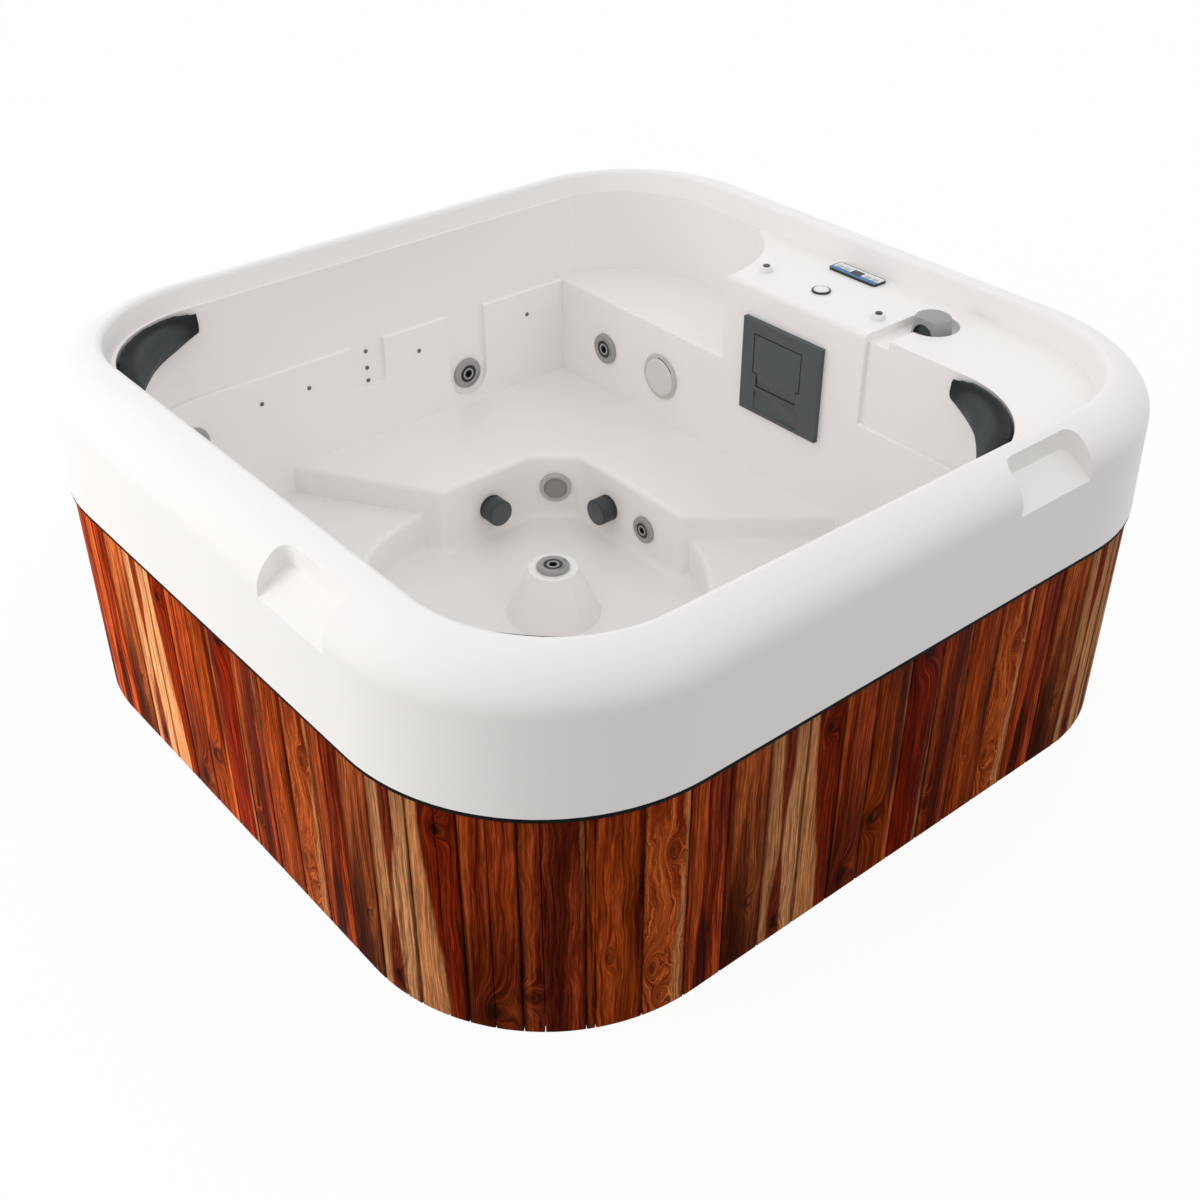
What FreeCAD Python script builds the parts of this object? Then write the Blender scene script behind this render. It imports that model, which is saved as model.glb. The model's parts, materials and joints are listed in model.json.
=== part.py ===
import FreeCAD, Part
import math
import os
from FreeCAD import Placement, Rotation, Vector

# Hot tub: a moulded basin on a framed plank skirt, with its jets, skimmer, valves, controls and pump.
# Millimetres. The origin is under the middle of the tub on the ground, +Z up, the console along +Y.

# Heights of the basin, each step measured from the one below it
floor_height = 95.0
footwell_depth = 110.0
seat_step = 75.0
panel_height = 269.0
upper_wall_height = 223.0
lip_height = 58.0
shell_wall = 8.0

seat_z = floor_height + footwell_depth
bench_z = seat_z + seat_step
ledge_z = bench_z + panel_height
deck_z = ledge_z + upper_wall_height
tub_height = deck_z + lip_height

# Plan of the basin and the rim round it
basin_width = 1664.0
basin_corner_radius = 284.0
lip_flare = 16.0
upper_setback = 8.0
panel_setback = 12.0
side_rim_width = 118.0
end_rim_width = 149.5
rim_corner_radius = 433.5
rim_band = 296.5
rim_lean = 6.0
crown_width = 138.0
crown_height = 94.0

basin_half = basin_width / 2
upper_half = basin_half - upper_setback
upper_radius = basin_corner_radius - upper_setback
panel_half = upper_half - panel_setback
panel_radius = upper_radius - panel_setback
rim_half_x = basin_half + side_rim_width
rim_half_y = basin_half + end_rim_width
rim_z = tub_height - rim_band

# Console at the back, its groove and the raised deck on its right
console_depth = 274.0
console_width = 452.0
console_offset = 56.0
console_end_radius = 308.0
right_deck_setback = 12.0
groove_width = 58.0
groove_depth = 20.0
pocket_radius = 62.0
pocket_setback = 154.0

console_front = basin_half - console_depth
console_left = console_offset - console_width / 2
console_right = console_offset + console_width / 2
right_deck_front = console_front + right_deck_setback
groove_z = deck_z - groove_depth
diverter_spot = (console_right + pocket_radius, console_front + pocket_setback)

# Seats and footwell: corners as shares of the basin's half width
bench_left_share = (-0.556, -0.136)
bench_right_share = (0.008, 0.321)
chamfer_left_share = (-0.559, 0.200)
chamfer_back_share = (-0.460, 0.321)
left_riser_share = -0.404
right_riser_share = 0.300
footwell_centre_share = (-0.120, -0.130)
cone_centre_share = (-0.102, -0.072)
footwell_radius = 412.0
bench_corner_radius = 24.0
chamfer_corner_radius = 45.0
cone_base_radius = 115.0
cone_top_radius = 60.0
cone_height = 127.0

# Roundings of the moulding
bench_round = 14.0
seat_round = 16.0
footwell_round = 22.0
ledge_round = 6.0
console_round = 14.0
lip_round = 12.0

# Niches in the left panel
slot_niche_width = 101.0
slot_niche_height = 119.0
slot_niche_radius = 20.0
slot_niche_share = -0.099
round_niche_width = 120.0
round_niche_share = 0.274
round_niche_rise_share = 0.305

# Lifting pockets moulded into the rim, one on each side
handle_width = 216.0
handle_depth = 72.0
handle_back_height = 58.0
handle_fall = 54.0
handle_corner_radius = 30.0
handle_share = 0.38

# Skirt, frame and base
skirt_inset = 6.0
seal_height = 6.0
seal_inset = 3.0
plank_thickness = 16.0
plank_gap = 1.4
plank_chamfer = 1.6
plank_lift = 3.0
rail_depth = 38.0
lower_rail_height = 48.0
upper_rail_height = 46.0
post_width = 60.0
post_share = 0.86
base_thickness = 12.0
support_radius = 300.0
support_wall = 110.0

# Grooves between the planks, as shares of each corner and side, going round from the left corner and the front
corner_groove_shares = (
    (0.080, 0.222, 0.364, 0.506, 0.648, 0.790, 0.931),
    (0.055, 0.145, 0.197, 0.285, 0.347, 0.423, 0.501, 0.559, 0.671, 0.696, 0.829, 0.966),
    (0.013, 0.155, 0.297, 0.439, 0.581, 0.723, 0.865),
    (0.080, 0.222, 0.364, 0.506, 0.648, 0.790, 0.931))
side_groove_shares = (
    (0.047, 0.139, 0.231, 0.323, 0.410, 0.500, 0.583, 0.669, 0.761, 0.852, 0.943),
    (0.064, 0.154, 0.242, 0.329, 0.410, 0.495, 0.578, 0.659, 0.745, 0.833, 0.919),
    (0.012, 0.104, 0.196, 0.289, 0.377, 0.466, 0.560, 0.648, 0.737, 0.829, 0.920),
    (0.024, 0.110, 0.198, 0.284, 0.369, 0.452, 0.538, 0.623, 0.709, 0.795, 0.882, 0.968))

skirt_half_x = rim_half_x - skirt_inset
skirt_half_y = rim_half_y - skirt_inset
skirt_radius = rim_corner_radius - skirt_inset
skirt_run_x = rim_half_x - rim_corner_radius
skirt_run_y = rim_half_y - rim_corner_radius
seal_z = rim_z - seal_height

# Clearances and working values
fit_gap = 0.3
running_gap = 0.05
overrun = 10.0
tolerance = 0.1
same_point = 0.000001
probe = 0.5
smooth_cosine = 0.985

# Massage jets: one family, set by the radius of the bezel
wall_jet_radius = 42.5
footwell_jet_radius = 36.0
cone_jet_radius = 40.0
jet_rim = 4.0
jet_flange_thickness = 3.0
jet_flange_cover = 5.5
jet_bezel_height = 11.0
jet_bezel_shoulder = 5.0
jet_skirt_wall = 4.0
jet_skirt_length = 15.0
jet_barrel_wall = 6.5
jet_barrel_length = 70.0
jet_bore_length = 60.0
jet_throat_slope = 5.0
jet_nozzle_length = 18.0
jet_nozzle_hole_share = 0.45
jet_nut_height = 10.0
jet_nut_width = 11.0
grip_count = 3
grip_width = 9.0
grip_height = 4.0
grip_round = 2.25
corner_boss_height = 6.0
corner_boss_rim = 5.0
corner_jet_angle = 10.0

# Places of the wall fittings: along the wall as a share of the basin's half width, up as a share of the step
platform_jet_share = (-0.749, 0.472)
light_share = (-0.476, 0.480)
corner_jet_rise_share = 0.595
front_jet_share = (0.340, 0.472)
side_jet_share = (-0.300, 0.472)
footwell_jet_share = -0.151
footwell_rise_share = 0.745
suction_left_share = 0.040
suction_back_share = -0.320
return_rise_share = 0.836
injector_row_shares = (-0.477, -0.315, 0.0865, 0.518)
injector_rise_share = 0.743
slot_injector_shares = (0.23, 0.62, 0.92)

# Underwater light
light_radius = 61.5
light_rim = 5.2
light_lens_radius = 52.0
light_lens_height = 13.0
light_lens_edge = 9.0
light_lens_crown = 6.0
light_cup_radius = 47.7
light_cup_length = 55.0
light_cup_wall = 4.0

# Suction covers, return fitting and air injectors
suction_radius = 36.0
suction_height = 14.0
suction_wall = 3.0
suction_pipe_radius = 24.7
suction_pipe_length = 60.0
suction_bore_radius = 20.0
suction_flange_radius = 31.0
suction_slot_count = 10
suction_slot_width = 4.0
suction_slot_inner = 9.0
suction_slot_outer = 30.0
return_radius = 35.0
return_face_height = 7.0
return_bevel = 3.0
return_mouth_radius = 23.0
injector_head_radius = 5.5
injector_head_height = 3.0
injector_stem_radius = 4.0
injector_stem_length = 25.0

# Skimmer
plate_width = 256.0
plate_height = 244.0
plate_thickness = 14.0
plate_bevel = 9.0
plate_centre_offset = -18.0
plate_top_drop = 78.0
mouth_top_share = 0.130
mouth_bottom_share = 0.700
mouth_neck_share = 0.560
mouth_left_share = 0.155
mouth_right_share = 0.775
neck_left_share = 0.205
neck_right_share = 0.735
panel_left_share = 0.190
panel_right_share = 0.770
panel_top_share = 0.745
panel_bottom_share = 0.955
panel_recess = 4.0
weir_gap = 3.0
weir_thickness = 5.0
weir_knuckle_radius = 4.5
weir_pin_radius = 3.0
weir_pin_length = 9.0
housing_wall = 4.0
housing_margin = 14.0
housing_depth = 274.0
housing_drop = 60.0
filter_radius = 60.0
filter_pleat_depth = 8.0
filter_pleat_count = 24
filter_height = 190.0
filter_cap_height = 12.0
filter_bore_radius = 22.0

# Controls on the console deck
panel_length = 150.0
panel_width = 47.0
panel_thickness = 6.0
panel_radius_plan = 9.0
panel_setback_y = 235.0
panel_shift = -14.0
panel_tail_length = 110.0
panel_tail_width = 30.0
panel_tail_depth = 24.0
display_length = 32.0
display_width = 22.0
display_sink = 3.0
display_proud = 0.6
key_length = 17.0
key_width = 13.0
key_radius = 4.0
key_height = 3.8
key_round = 0.95
key_sink = 2.8
key_floor_gap = 1.0
key_shares = (-0.375, -0.225, 0.225, 0.375)
button_spot = (50.0, 100.0)
button_ring_radius = 22.0
button_ring_height = 4.0
button_tail_radius = 19.0
button_tail_length = 40.0
button_cap_radius = 16.0
button_cap_height = 8.0
button_cap_sink = 2.0
button_well_depth = 8.0
button_dish = 1.2
air_valve_left = (-121.0, 87.0)
air_valve_right = (240.0, 88.0)
air_collar_radius = 16.5
air_collar_height = 8.0
air_tail_radius = 12.0
air_tail_length = 50.0
air_cap_radius = 9.0
air_cap_height = 12.0
air_cap_bevel = 2.0
air_stem_radius = 6.0
air_stem_length = 16.0

# Diverter valve
knob_base_radius = 50.0
knob_top_radius = 37.0
knob_height = 43.0
knob_round = 5.0
knob_recess_radius = 27.0
knob_recess_depth = 9.0
knob_recess_set = 3.0
knob_recess_turn = 135.0
knob_stem_radius = 12.0
knob_stem_length = 40.0
diverter_neck_radius = 29.0
diverter_body_radius = 48.0
diverter_body_height = 96.0
diverter_inlet_length = 4.0

# Head pillows in three corners
pillow_thickness = 84.0
pillow_top_rise = 3.0
pillow_height = 86.0
pillow_ridge_share = 0.62
pillow_belly_share = 0.60
pillow_draw_share = 0.10
pillow_tip_angle = 5.0
pillow_thickness_shares = (0.14, 0.66, 0.92, 1.0, 0.92, 0.66, 0.14)
pillow_height_shares = (0.70, 0.94, 1.0, 1.0, 1.0, 0.94, 0.70)
pin_radius = 5.0
pin_length = 30.0
pin_angle = 22.0
pin_drop = 40.0
pin_sink = 12.0

# Pump, heater, control box and pipes behind the seats
pipe_radius = 24.0
pipe_wall = 3.0
branch_radius = 20.0
pipe_bend = 80.0
riser_bend = 60.0
pump_line_setback = 202.0
pump_x = 140.0
wet_end_radius = 92.0
wet_end_length = 110.0
wet_end_collar = 20.0
motor_radius = 82.0
motor_length = 280.0
motor_foot_width = 120.0
motor_fin_count = 12
motor_fin_depth = 7.0
motor_fin_width = 10.0
heater_radius = 38.0
heater_length = 200.0
heater_rise = 40.0
heater_collar_radius = 46.0
heater_collar_length = 24.0
control_box_length = 220.0
control_box_width = 120.0
control_box_height = 230.0
control_box_round = 10.0
control_box_setback = (254.0, 315.5)
left_suction_run = 110.0
left_suction_join = 330.0

footwell_fitting_z = floor_height + footwell_depth * footwell_rise_share
suction_line_y = console_front + pump_line_setback


def spot(share):
    """Plan point at a pair of shares of the basin's half width."""
    return (share[0] * basin_half, share[1] * basin_half)


def square(half_x, half_y):
    """Corners of a rectangle round the origin, counter-clockwise."""
    return [(-half_x, -half_y), (half_x, -half_y), (half_x, half_y), (-half_x, half_y)]


def rectangle(left, right, front, back):
    """Corners of a rectangle between four lines, counter-clockwise."""
    return [(left, front), (right, front), (right, back), (left, back)]


def direction(from_point, to_point):
    """Unit vector in plan from one point to another."""
    return Vector(to_point[0] - from_point[0], to_point[1] - from_point[1], 0).normalize()


def grown(points, grow):
    """Counter-clockwise polygon with every side moved outward by the same distance."""
    moved = []
    for i, here in enumerate(points):
        come = direction(points[i - 1], here)
        go = direction(here, points[(i + 1) % len(points)])
        out = Vector(come.y + go.y, -come.x - go.x, 0) * (grow / (1 + come.dot(go)))
        moved.append((here[0] + out.x, here[1] + out.y))
    return moved


def outline(points, radii, grow, z):
    """Closed wire of lines and corner arcs round a counter-clockwise polygon at height z."""
    corners = [Vector(x, y, z) for x, y in grown(points, grow)]
    ends = []
    for i, here in enumerate(corners):
        back = (corners[i - 1] - here).normalize()
        on = (corners[(i + 1) % len(corners)] - here).normalize()
        radius = radii[i]
        if radius > 0:
            radius += grow if on.cross(back).z > 0 else -grow
        if radius <= 0:
            ends.append((here, None, here))
            continue
        half = back.getAngle(on) / 2
        inward = (back + on).normalize()
        run = radius / math.tan(half)
        middle = here + inward * (radius / math.sin(half) - radius)
        ends.append((here + back * run, middle, here + on * run))
    edges = []
    for i, (start, middle, end) in enumerate(ends):
        if middle is not None:
            edges.append(Part.Arc(start, middle, end).toShape())
        following = ends[(i + 1) % len(ends)][0]
        if not following.isEqual(end, same_point):
            edges.append(Part.LineSegment(end, following).toShape())
    return Part.Wire(edges)


def prism(points, radii, bottom, top, grow=0, flare=0):
    """Upright solid over a rounded polygon, widening by the flare on its way up."""
    if flare == 0:
        return Part.Face(outline(points, radii, grow, bottom)).extrude(Vector(0, 0, top - bottom))
    sections = [outline(points, radii, grow, bottom), outline(points, radii, grow + flare, top)]
    return Part.makeLoft(sections, True, True)


def block(left, right, front, back, bottom, top, radius=0):
    """Upright box between six planes, with rounded upright edges."""
    return prism(rectangle(left, right, front, back), [radius] * 4, bottom, top)


def turned(profile):
    """Solid of revolution about Z from (radius, height) points."""
    points = [Vector(radius, 0, height) for radius, height in profile]
    face = Part.Face(Part.makePolygon(points + points[:1]))
    return face.revolve(Vector(0, 0, 0), Vector(0, 0, 1), 360)


def placed(shape, point, normal):
    """The shape with its +Z turned to the normal and its origin moved to the point."""
    moved = shape.copy()
    moved.Placement = Placement(Vector(*point), Rotation(Vector(0, 0, 1), normal))
    return moved


def quarter_turned(shape, quarters):
    """The shape turned about the tub's upright axis by quarter turns."""
    moved = shape.copy()
    moved.rotate(Vector(0, 0, 0), Vector(0, 0, 1), 90 * quarters)
    return moved


def group(solids):
    """Separate solids kept together as one node."""
    return Part.makeCompound(solids)


def edge_kind(solid, edge):
    """Whether an edge of the solid is convex, concave or smooth."""
    faces = solid.ancestorsOfType(edge, Part.Face)
    if len(faces) != 2:
        return "seam"
    middle = edge.valueAt((edge.FirstParameter + edge.LastParameter) / 2)
    first, second = [face.normalAt(*face.Surface.parameter(middle)) for face in faces]
    if first.dot(second) > smooth_cosine:
        return "smooth"
    inside = solid.Solids[0].isInside(middle + (first - second) * probe, tolerance, True)
    return "concave" if inside else "convex"


def level_edges(solid, z, kind):
    """Edges of one kind that lie flat at height z."""
    flat = [edge for edge in solid.Edges if not edge.Degenerated
            and abs(edge.BoundBox.ZMin - z) < tolerance and abs(edge.BoundBox.ZMax - z) < tolerance]
    return [edge for edge in flat if edge_kind(solid, edge) == kind]


# Outlines of the basin's levels
seat_outline = [(-panel_half, -panel_half), (panel_half, -panel_half), (panel_half, console_front),
                (right_riser_share * basin_half, console_front), spot(bench_right_share),
                spot(chamfer_back_share), spot(chamfer_left_share), spot(bench_left_share),
                (-panel_half, left_riser_share * basin_half)]
seat_radii = [panel_radius, panel_radius, panel_radius, 0, bench_corner_radius,
              chamfer_corner_radius, chamfer_corner_radius, bench_corner_radius, 0]
bench_outline = rectangle(-panel_half, panel_half, -panel_half, console_front)
bench_radii = [panel_radius, panel_radius, panel_radius, 0]
alcove_back = console_front + console_end_radius
upper_outline = [(-upper_half, -upper_half), (upper_half, -upper_half), (upper_half, right_deck_front),
                 (console_right, right_deck_front), (console_right, console_front),
                 (console_left, console_front), (console_left, alcove_back), (-upper_half, alcove_back)]
upper_radii = [upper_radius, upper_radius, upper_radius, 0, 0, 0, console_end_radius, 0]
basin_outline = square(basin_half, basin_half)
basin_radii = [basin_corner_radius] * 4


def bench_space(grow):
    return prism(bench_outline, bench_radii, bench_z - grow, ledge_z + overrun, grow)


def seat_space(grow):
    return prism(seat_outline, seat_radii, seat_z - grow, bench_z + overrun, grow)


def footwell_space(grow):
    """Round footwell, squared out into the chamfered bench corner and held inside the seat risers."""
    bottom = floor_height - grow
    top = seat_z + overrun
    centre = spot(footwell_centre_share)
    round_part = Part.makeCylinder(footwell_radius + grow, top - bottom, Vector(*centre, bottom))
    cone_x, cone_y = spot(cone_centre_share)
    left = -footwell_radius + centre[0]
    back = footwell_radius + centre[1]
    corner_part = block(left, cone_x, cone_y, back, bottom, top)
    risers = prism(seat_outline, seat_radii, bottom - overrun, bench_z, grow)
    return round_part.fuse(corner_part).common(risers).removeSplitter()


def upper_space(grow):
    """Space between the ledge and the deck, with the cool-down platform at the back left."""
    space = prism(upper_outline, upper_radii, ledge_z - grow, deck_z + overrun, grow)
    limit = prism(basin_outline, basin_radii, ledge_z - grow - overrun, deck_z + overrun + overrun, grow)
    return space.common(limit).removeSplitter()


def lip_space(grow, top):
    """Flared space above the deck, its slope carried on to the given height."""
    flare = lip_flare * (top - deck_z) / lip_height
    return prism(basin_outline, basin_radii, deck_z - grow, top, grow, flare)


def deck_groove(grow):
    """Groove in the deck that drains the round diverter pocket into the basin."""
    x, y = diverter_spot
    left = console_right - grow
    right = console_right + groove_width + grow
    groove = block(left, right, console_front - groove_width, y, groove_z - grow, deck_z + overrun)
    pocket = Part.makeCylinder(pocket_radius + grow, deck_z + overrun - groove_z + grow,
                               Vector(x, y, groove_z - grow))
    return groove.fuse(pocket).removeSplitter()


def panel_niches(grow):
    """Slot niche and round-ended niche that carry the upper wall's plane down into the left panel."""
    slot_y = slot_niche_share * basin_half
    round_y = round_niche_share * basin_half
    round_half = round_niche_width / 2
    slot = rectangle(slot_y - slot_niche_width / 2, slot_y + slot_niche_width / 2,
                     ledge_z - slot_niche_height, ledge_z + overrun)
    rounded = rectangle(round_y - round_half, round_y + round_half, round_niche_z() - round_half,
                        ledge_z + overrun)
    niches = []
    for points, radius in ((slot, slot_niche_radius), (rounded, round_half)):
        niche = prism(points, [radius, radius, 0, 0], -upper_half - grow, -panel_half + overrun, grow)
        niche.rotate(Vector(0, 0, 0), Vector(1, 1, 1), 120)
        niches.append(niche)
    return niches


def round_niche_z():
    return bench_z + panel_height * round_niche_rise_share


def centre_cone(grow):
    """Cone that carries the middle jet, hollow from below."""
    return Part.makeCone(cone_base_radius - grow, cone_top_radius - grow, cone_height,
                         Vector(*spot(cone_centre_share), floor_height - grow))


def console_edges(solid):
    """Top edges of the console's front and of its curved end."""
    chosen = []
    for edge in level_edges(solid, deck_z, "concave"):
        box = edge.BoundBox
        within = box.XMin > console_left - console_end_radius and box.XMax < console_right + tolerance
        if within and box.YMin < console_front + tolerance and box.XMin < console_right - tolerance:
            chosen.append(edge)
    return chosen


def water_space():
    """The hollow of the basin with all its moulded roundings."""
    space = bench_space(0).fuse(seat_space(0)).removeSplitter()
    space = space.makeFillet(bench_round, level_edges(space, bench_z, "concave"))
    footwell = footwell_space(0)
    footwell = footwell.makeFillet(footwell_round, level_edges(footwell, floor_height, "convex"))
    space = space.fuse(footwell).removeSplitter()
    space = space.makeFillet(seat_round, level_edges(space, seat_z, "concave"))
    space = space.fuse(upper_space(0)).removeSplitter()
    space = space.makeFillet(ledge_round, level_edges(space, ledge_z, "concave"))
    space = space.multiFuse([lip_space(0, tub_height + lip_height), deck_groove(0)]).removeSplitter()
    space = space.makeFillet(console_round, console_edges(space))
    return space.multiFuse(panel_niches(0)).cut(centre_cone(0))


def outer_space():
    """The basin's outer skin: the same levels grown by the wall."""
    levels = [seat_space(shell_wall), footwell_space(shell_wall), upper_space(shell_wall),
              lip_space(shell_wall, tub_height - shell_wall), deck_groove(shell_wall)]
    space = bench_space(shell_wall).multiFuse(levels + panel_niches(shell_wall)).removeSplitter()
    return space.cut(centre_cone(shell_wall))


def rim_section(point, inner_edges):
    """Closed section of the rim: leaning wall, elliptical crown, then the given inner edges."""
    shoulder_z = tub_height - crown_height
    edges = [Part.LineSegment(point(0, rim_z), point(rim_lean, shoulder_z)).toShape(),
             crown_arc(point, 0)]
    return Part.Wire(Part.__sortEdges__(edges + inner_edges))


def crown_arc(point, inset):
    """Quarter ellipse from the rim's shoulder to its top, moved inward by the inset."""
    top_reach = rim_lean + crown_width
    shoulder_z = tub_height - crown_height
    ellipse = Part.Ellipse(point(rim_lean + inset, shoulder_z), point(top_reach, tub_height - inset),
                           point(top_reach, shoulder_z))
    return Part.ArcOfEllipse(ellipse, 0, math.pi / 2).toShape()


def rim_point(inward, height):
    """Point of the rim's section where its path starts."""
    return Vector(inward - rim_half_x, rim_corner_radius - rim_half_y, height)


def rim_ring(hollow):
    """The rim carried round the rounded rectangle, as a hooked wall or filled."""
    reach = end_rim_width + shell_wall + lip_round
    top_reach = rim_lean + crown_width
    shoulder_z = tub_height - crown_height
    under_z = tub_height - shell_wall
    if hollow:
        corners = [rim_point(top_reach, tub_height), rim_point(reach, tub_height), rim_point(reach, under_z),
                   rim_point(top_reach, under_z)]
        feet = [rim_point(rim_lean + shell_wall, shoulder_z), rim_point(shell_wall, rim_z), rim_point(0, rim_z)]
        inner = [crown_arc(rim_point, shell_wall)]
        runs = list(zip(corners, corners[1:])) + list(zip(feet, feet[1:]))
    else:
        corners = [rim_point(top_reach, tub_height), rim_point(reach, tub_height), rim_point(reach, rim_z),
                   rim_point(0, rim_z)]
        inner = []
        runs = list(zip(corners, corners[1:]))
    inner += [Part.LineSegment(start, end).toShape() for start, end in runs]
    path = outline(square(rim_half_x, rim_half_y), [rim_corner_radius] * 4, 0, rim_z)
    sweep = Part.BRepOffsetAPI.MakePipeShell(path)
    sweep.add(rim_section(rim_point, inner))
    sweep.build()
    sweep.makeSolid()
    return sweep.shape()


def lip_edges(solid):
    """Edges where the rim's top turns down into the lip."""
    chosen = []
    for edge in solid.Edges:
        if edge.Degenerated or edge.BoundBox.ZMin < tub_height - crown_height / 2:
            continue
        middle = edge.valueAt((edge.FirstParameter + edge.LastParameter) / 2)
        flare = lip_flare * (middle.z - deck_z) / lip_height
        line = outline(basin_outline, basin_radii, flare, middle.z)
        if line.distToShape(Part.Vertex(middle))[0] < tolerance:
            chosen.append(edge)
    return chosen


def handle_space(quarters, grow):
    """Scooped lifting pocket on one side of the rim: upright back, floor falling outward."""
    half = rim_half_y if quarters % 2 == 0 else rim_half_x
    along = handle_share * (rim_half_x if quarters % 2 == 0 else rim_half_y)
    back_z = tub_height - handle_back_height - grow
    front_z = back_z - handle_fall
    left = along - handle_width / 2 - grow
    right = along + handle_width / 2 + grow
    back = handle_depth + grow - half
    front = -half - overrun
    radius = handle_corner_radius + grow
    scoop = prism(rectangle(left, right, front, back), [0, 0, radius, radius], front_z - handle_fall,
                  tub_height + overrun)
    fall = handle_fall / handle_depth
    low = [Vector(left - overrun, back, back_z),
           Vector(left - overrun, front, back_z - fall * (back - front)),
           Vector(left - overrun, front, front_z - handle_fall - handle_fall),
           Vector(left - overrun, back, front_z - handle_fall - handle_fall)]
    under = Part.Face(Part.makePolygon(low + low[:1])).extrude(Vector(right - left + overrun + overrun, 0, 0))
    return quarter_turned(scoop.cut(under), quarters)


def shell_blank():
    """Basin and rim in one moulded wall, before its fittings are drilled."""
    shell = rim_ring(True).fuse(outer_space()).cut(water_space()).removeSplitter()
    shell = shell.makeFillet(lip_round, lip_edges(shell))
    filled_rim = rim_ring(False)
    liners = [handle_space(side, shell_wall).common(filled_rim) for side in range(4)]
    scoops = [handle_space(side, 0) for side in range(4)]
    return shell.multiFuse(liners).cut(Part.makeCompound(scoops))


# Fittings that pass through a wall stand on a point of it and face along its normal.
platform_z = bench_z + panel_height * platform_jet_share[1]
light_z = bench_z + panel_height * light_share[1]
corner_jet_z = bench_z + panel_height * corner_jet_rise_share
corner_way = Vector(-math.cos(math.radians(corner_jet_angle)), -math.sin(math.radians(corner_jet_angle)), 0)
corner_centre = Vector(panel_radius - panel_half, panel_radius - panel_half, corner_jet_z)
corner_jet_point = corner_centre + corner_way * (panel_radius - corner_boss_height)
corner_wall = shell_wall + corner_boss_height
chamfer_left = spot(chamfer_left_share)
chamfer_back = spot(chamfer_back_share)
chamfer_way = direction(chamfer_left, chamfer_back)
left_wall_x = spot(bench_left_share)[0]
back_wall_y = spot(bench_right_share)[1]

jets = {
    "platform": ((platform_jet_share[0] * basin_half, console_front, platform_z), Vector(0, -1, 0),
                 wall_jet_radius),
    "niche": ((-upper_half, round_niche_share * basin_half, round_niche_z()), Vector(1, 0, 0), wall_jet_radius),
    "corner": (tuple(corner_jet_point), -corner_way, wall_jet_radius),
    "front": ((front_jet_share[0] * basin_half, -panel_half, platform_z), Vector(0, 1, 0), wall_jet_radius),
    "side": ((panel_half, side_jet_share[0] * basin_half, platform_z), Vector(-1, 0, 0), wall_jet_radius),
    "footwell": ((footwell_jet_share * basin_half, back_wall_y, footwell_fitting_z), Vector(0, -1, 0),
                 footwell_jet_radius),
    "centre": ((*spot(cone_centre_share), floor_height + cone_height), Vector(0, 0, 1), cone_jet_radius),
}
suctions = [((left_wall_x, suction_left_share * basin_half, footwell_fitting_z), Vector(1, 0, 0)),
            ((suction_back_share * basin_half, back_wall_y, footwell_fitting_z), Vector(0, -1, 0))]
return_spot = (((chamfer_left[0] + chamfer_back[0]) / 2, (chamfer_left[1] + chamfer_back[1]) / 2,
                floor_height + footwell_depth * return_rise_share), Vector(chamfer_way.y, -chamfer_way.x, 0))
light_spot = ((light_share[0] * basin_half, console_front, light_z), Vector(0, -1, 0))
row_z = bench_z + panel_height * injector_rise_share
injectors = [((-panel_half, share * basin_half, row_z), Vector(1, 0, 0)) for share in injector_row_shares]
injectors += [((-upper_half, slot_niche_share * basin_half, ledge_z - slot_niche_height * share),
               Vector(1, 0, 0)) for share in slot_injector_shares]
plate_x = console_offset + plate_centre_offset
plate_top = deck_z - plate_top_drop
plate_bottom = plate_top - plate_height
pump_axis_z = footwell_fitting_z


def barrel_radius(face_radius):
    """Radius of the jet barrel behind a bezel of the given radius."""
    return face_radius - jet_rim - jet_flange_cover


def jet_body(face_radius):
    outer = barrel_radius(face_radius)
    bore = outer - jet_barrel_wall
    return turned([(0, -jet_barrel_length), (outer, -jet_barrel_length), (outer, 0),
                   (face_radius - jet_rim - fit_gap, 0),
                   (face_radius - jet_rim - fit_gap, jet_flange_thickness),
                   (bore, jet_flange_thickness), (bore, -jet_bore_length), (0, -jet_bore_length)])


def jet_bezel(face_radius):
    """Turning face ring with a skirt that runs in the barrel's bore, and three finger grips."""
    skirt = barrel_radius(face_radius) - jet_barrel_wall - running_gap
    throat = skirt - jet_skirt_wall
    seat = jet_flange_thickness + fit_gap
    ring = turned([(throat, -jet_skirt_length), (skirt, -jet_skirt_length), (skirt, seat),
                   (face_radius - jet_rim, seat), (face_radius - jet_rim, fit_gap), (face_radius, fit_gap),
                   (face_radius, jet_bezel_shoulder), (face_radius - jet_rim, jet_bezel_height),
                   (throat + jet_throat_slope, jet_bezel_height),
                   (throat, jet_bezel_height - jet_throat_slope)])
    grip = block(face_radius - jet_rim - grip_width, face_radius - jet_rim, -grip_width / 2, grip_width / 2,
                 jet_bezel_height - jet_rim, jet_bezel_height + grip_height, grip_round)
    for i in range(grip_count):
        turned_grip = grip.copy()
        turned_grip.rotate(Vector(0, 0, 0), Vector(0, 0, 1), 360 * i / grip_count)
        ring = ring.fuse(turned_grip)
    return ring.removeSplitter()


def jet_nozzle(face_radius):
    """Cone-mouthed nozzle pressed into the bottom of the barrel's bore."""
    outer = barrel_radius(face_radius) - jet_barrel_wall
    hole = outer * jet_nozzle_hole_share
    top = -jet_skirt_length - fit_gap
    bottom = top - jet_nozzle_length
    return turned([(hole, bottom), (outer - running_gap, bottom), (outer - running_gap, top),
                   (outer - jet_skirt_wall, top), (hole, top - jet_nozzle_length / 2)])


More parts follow.
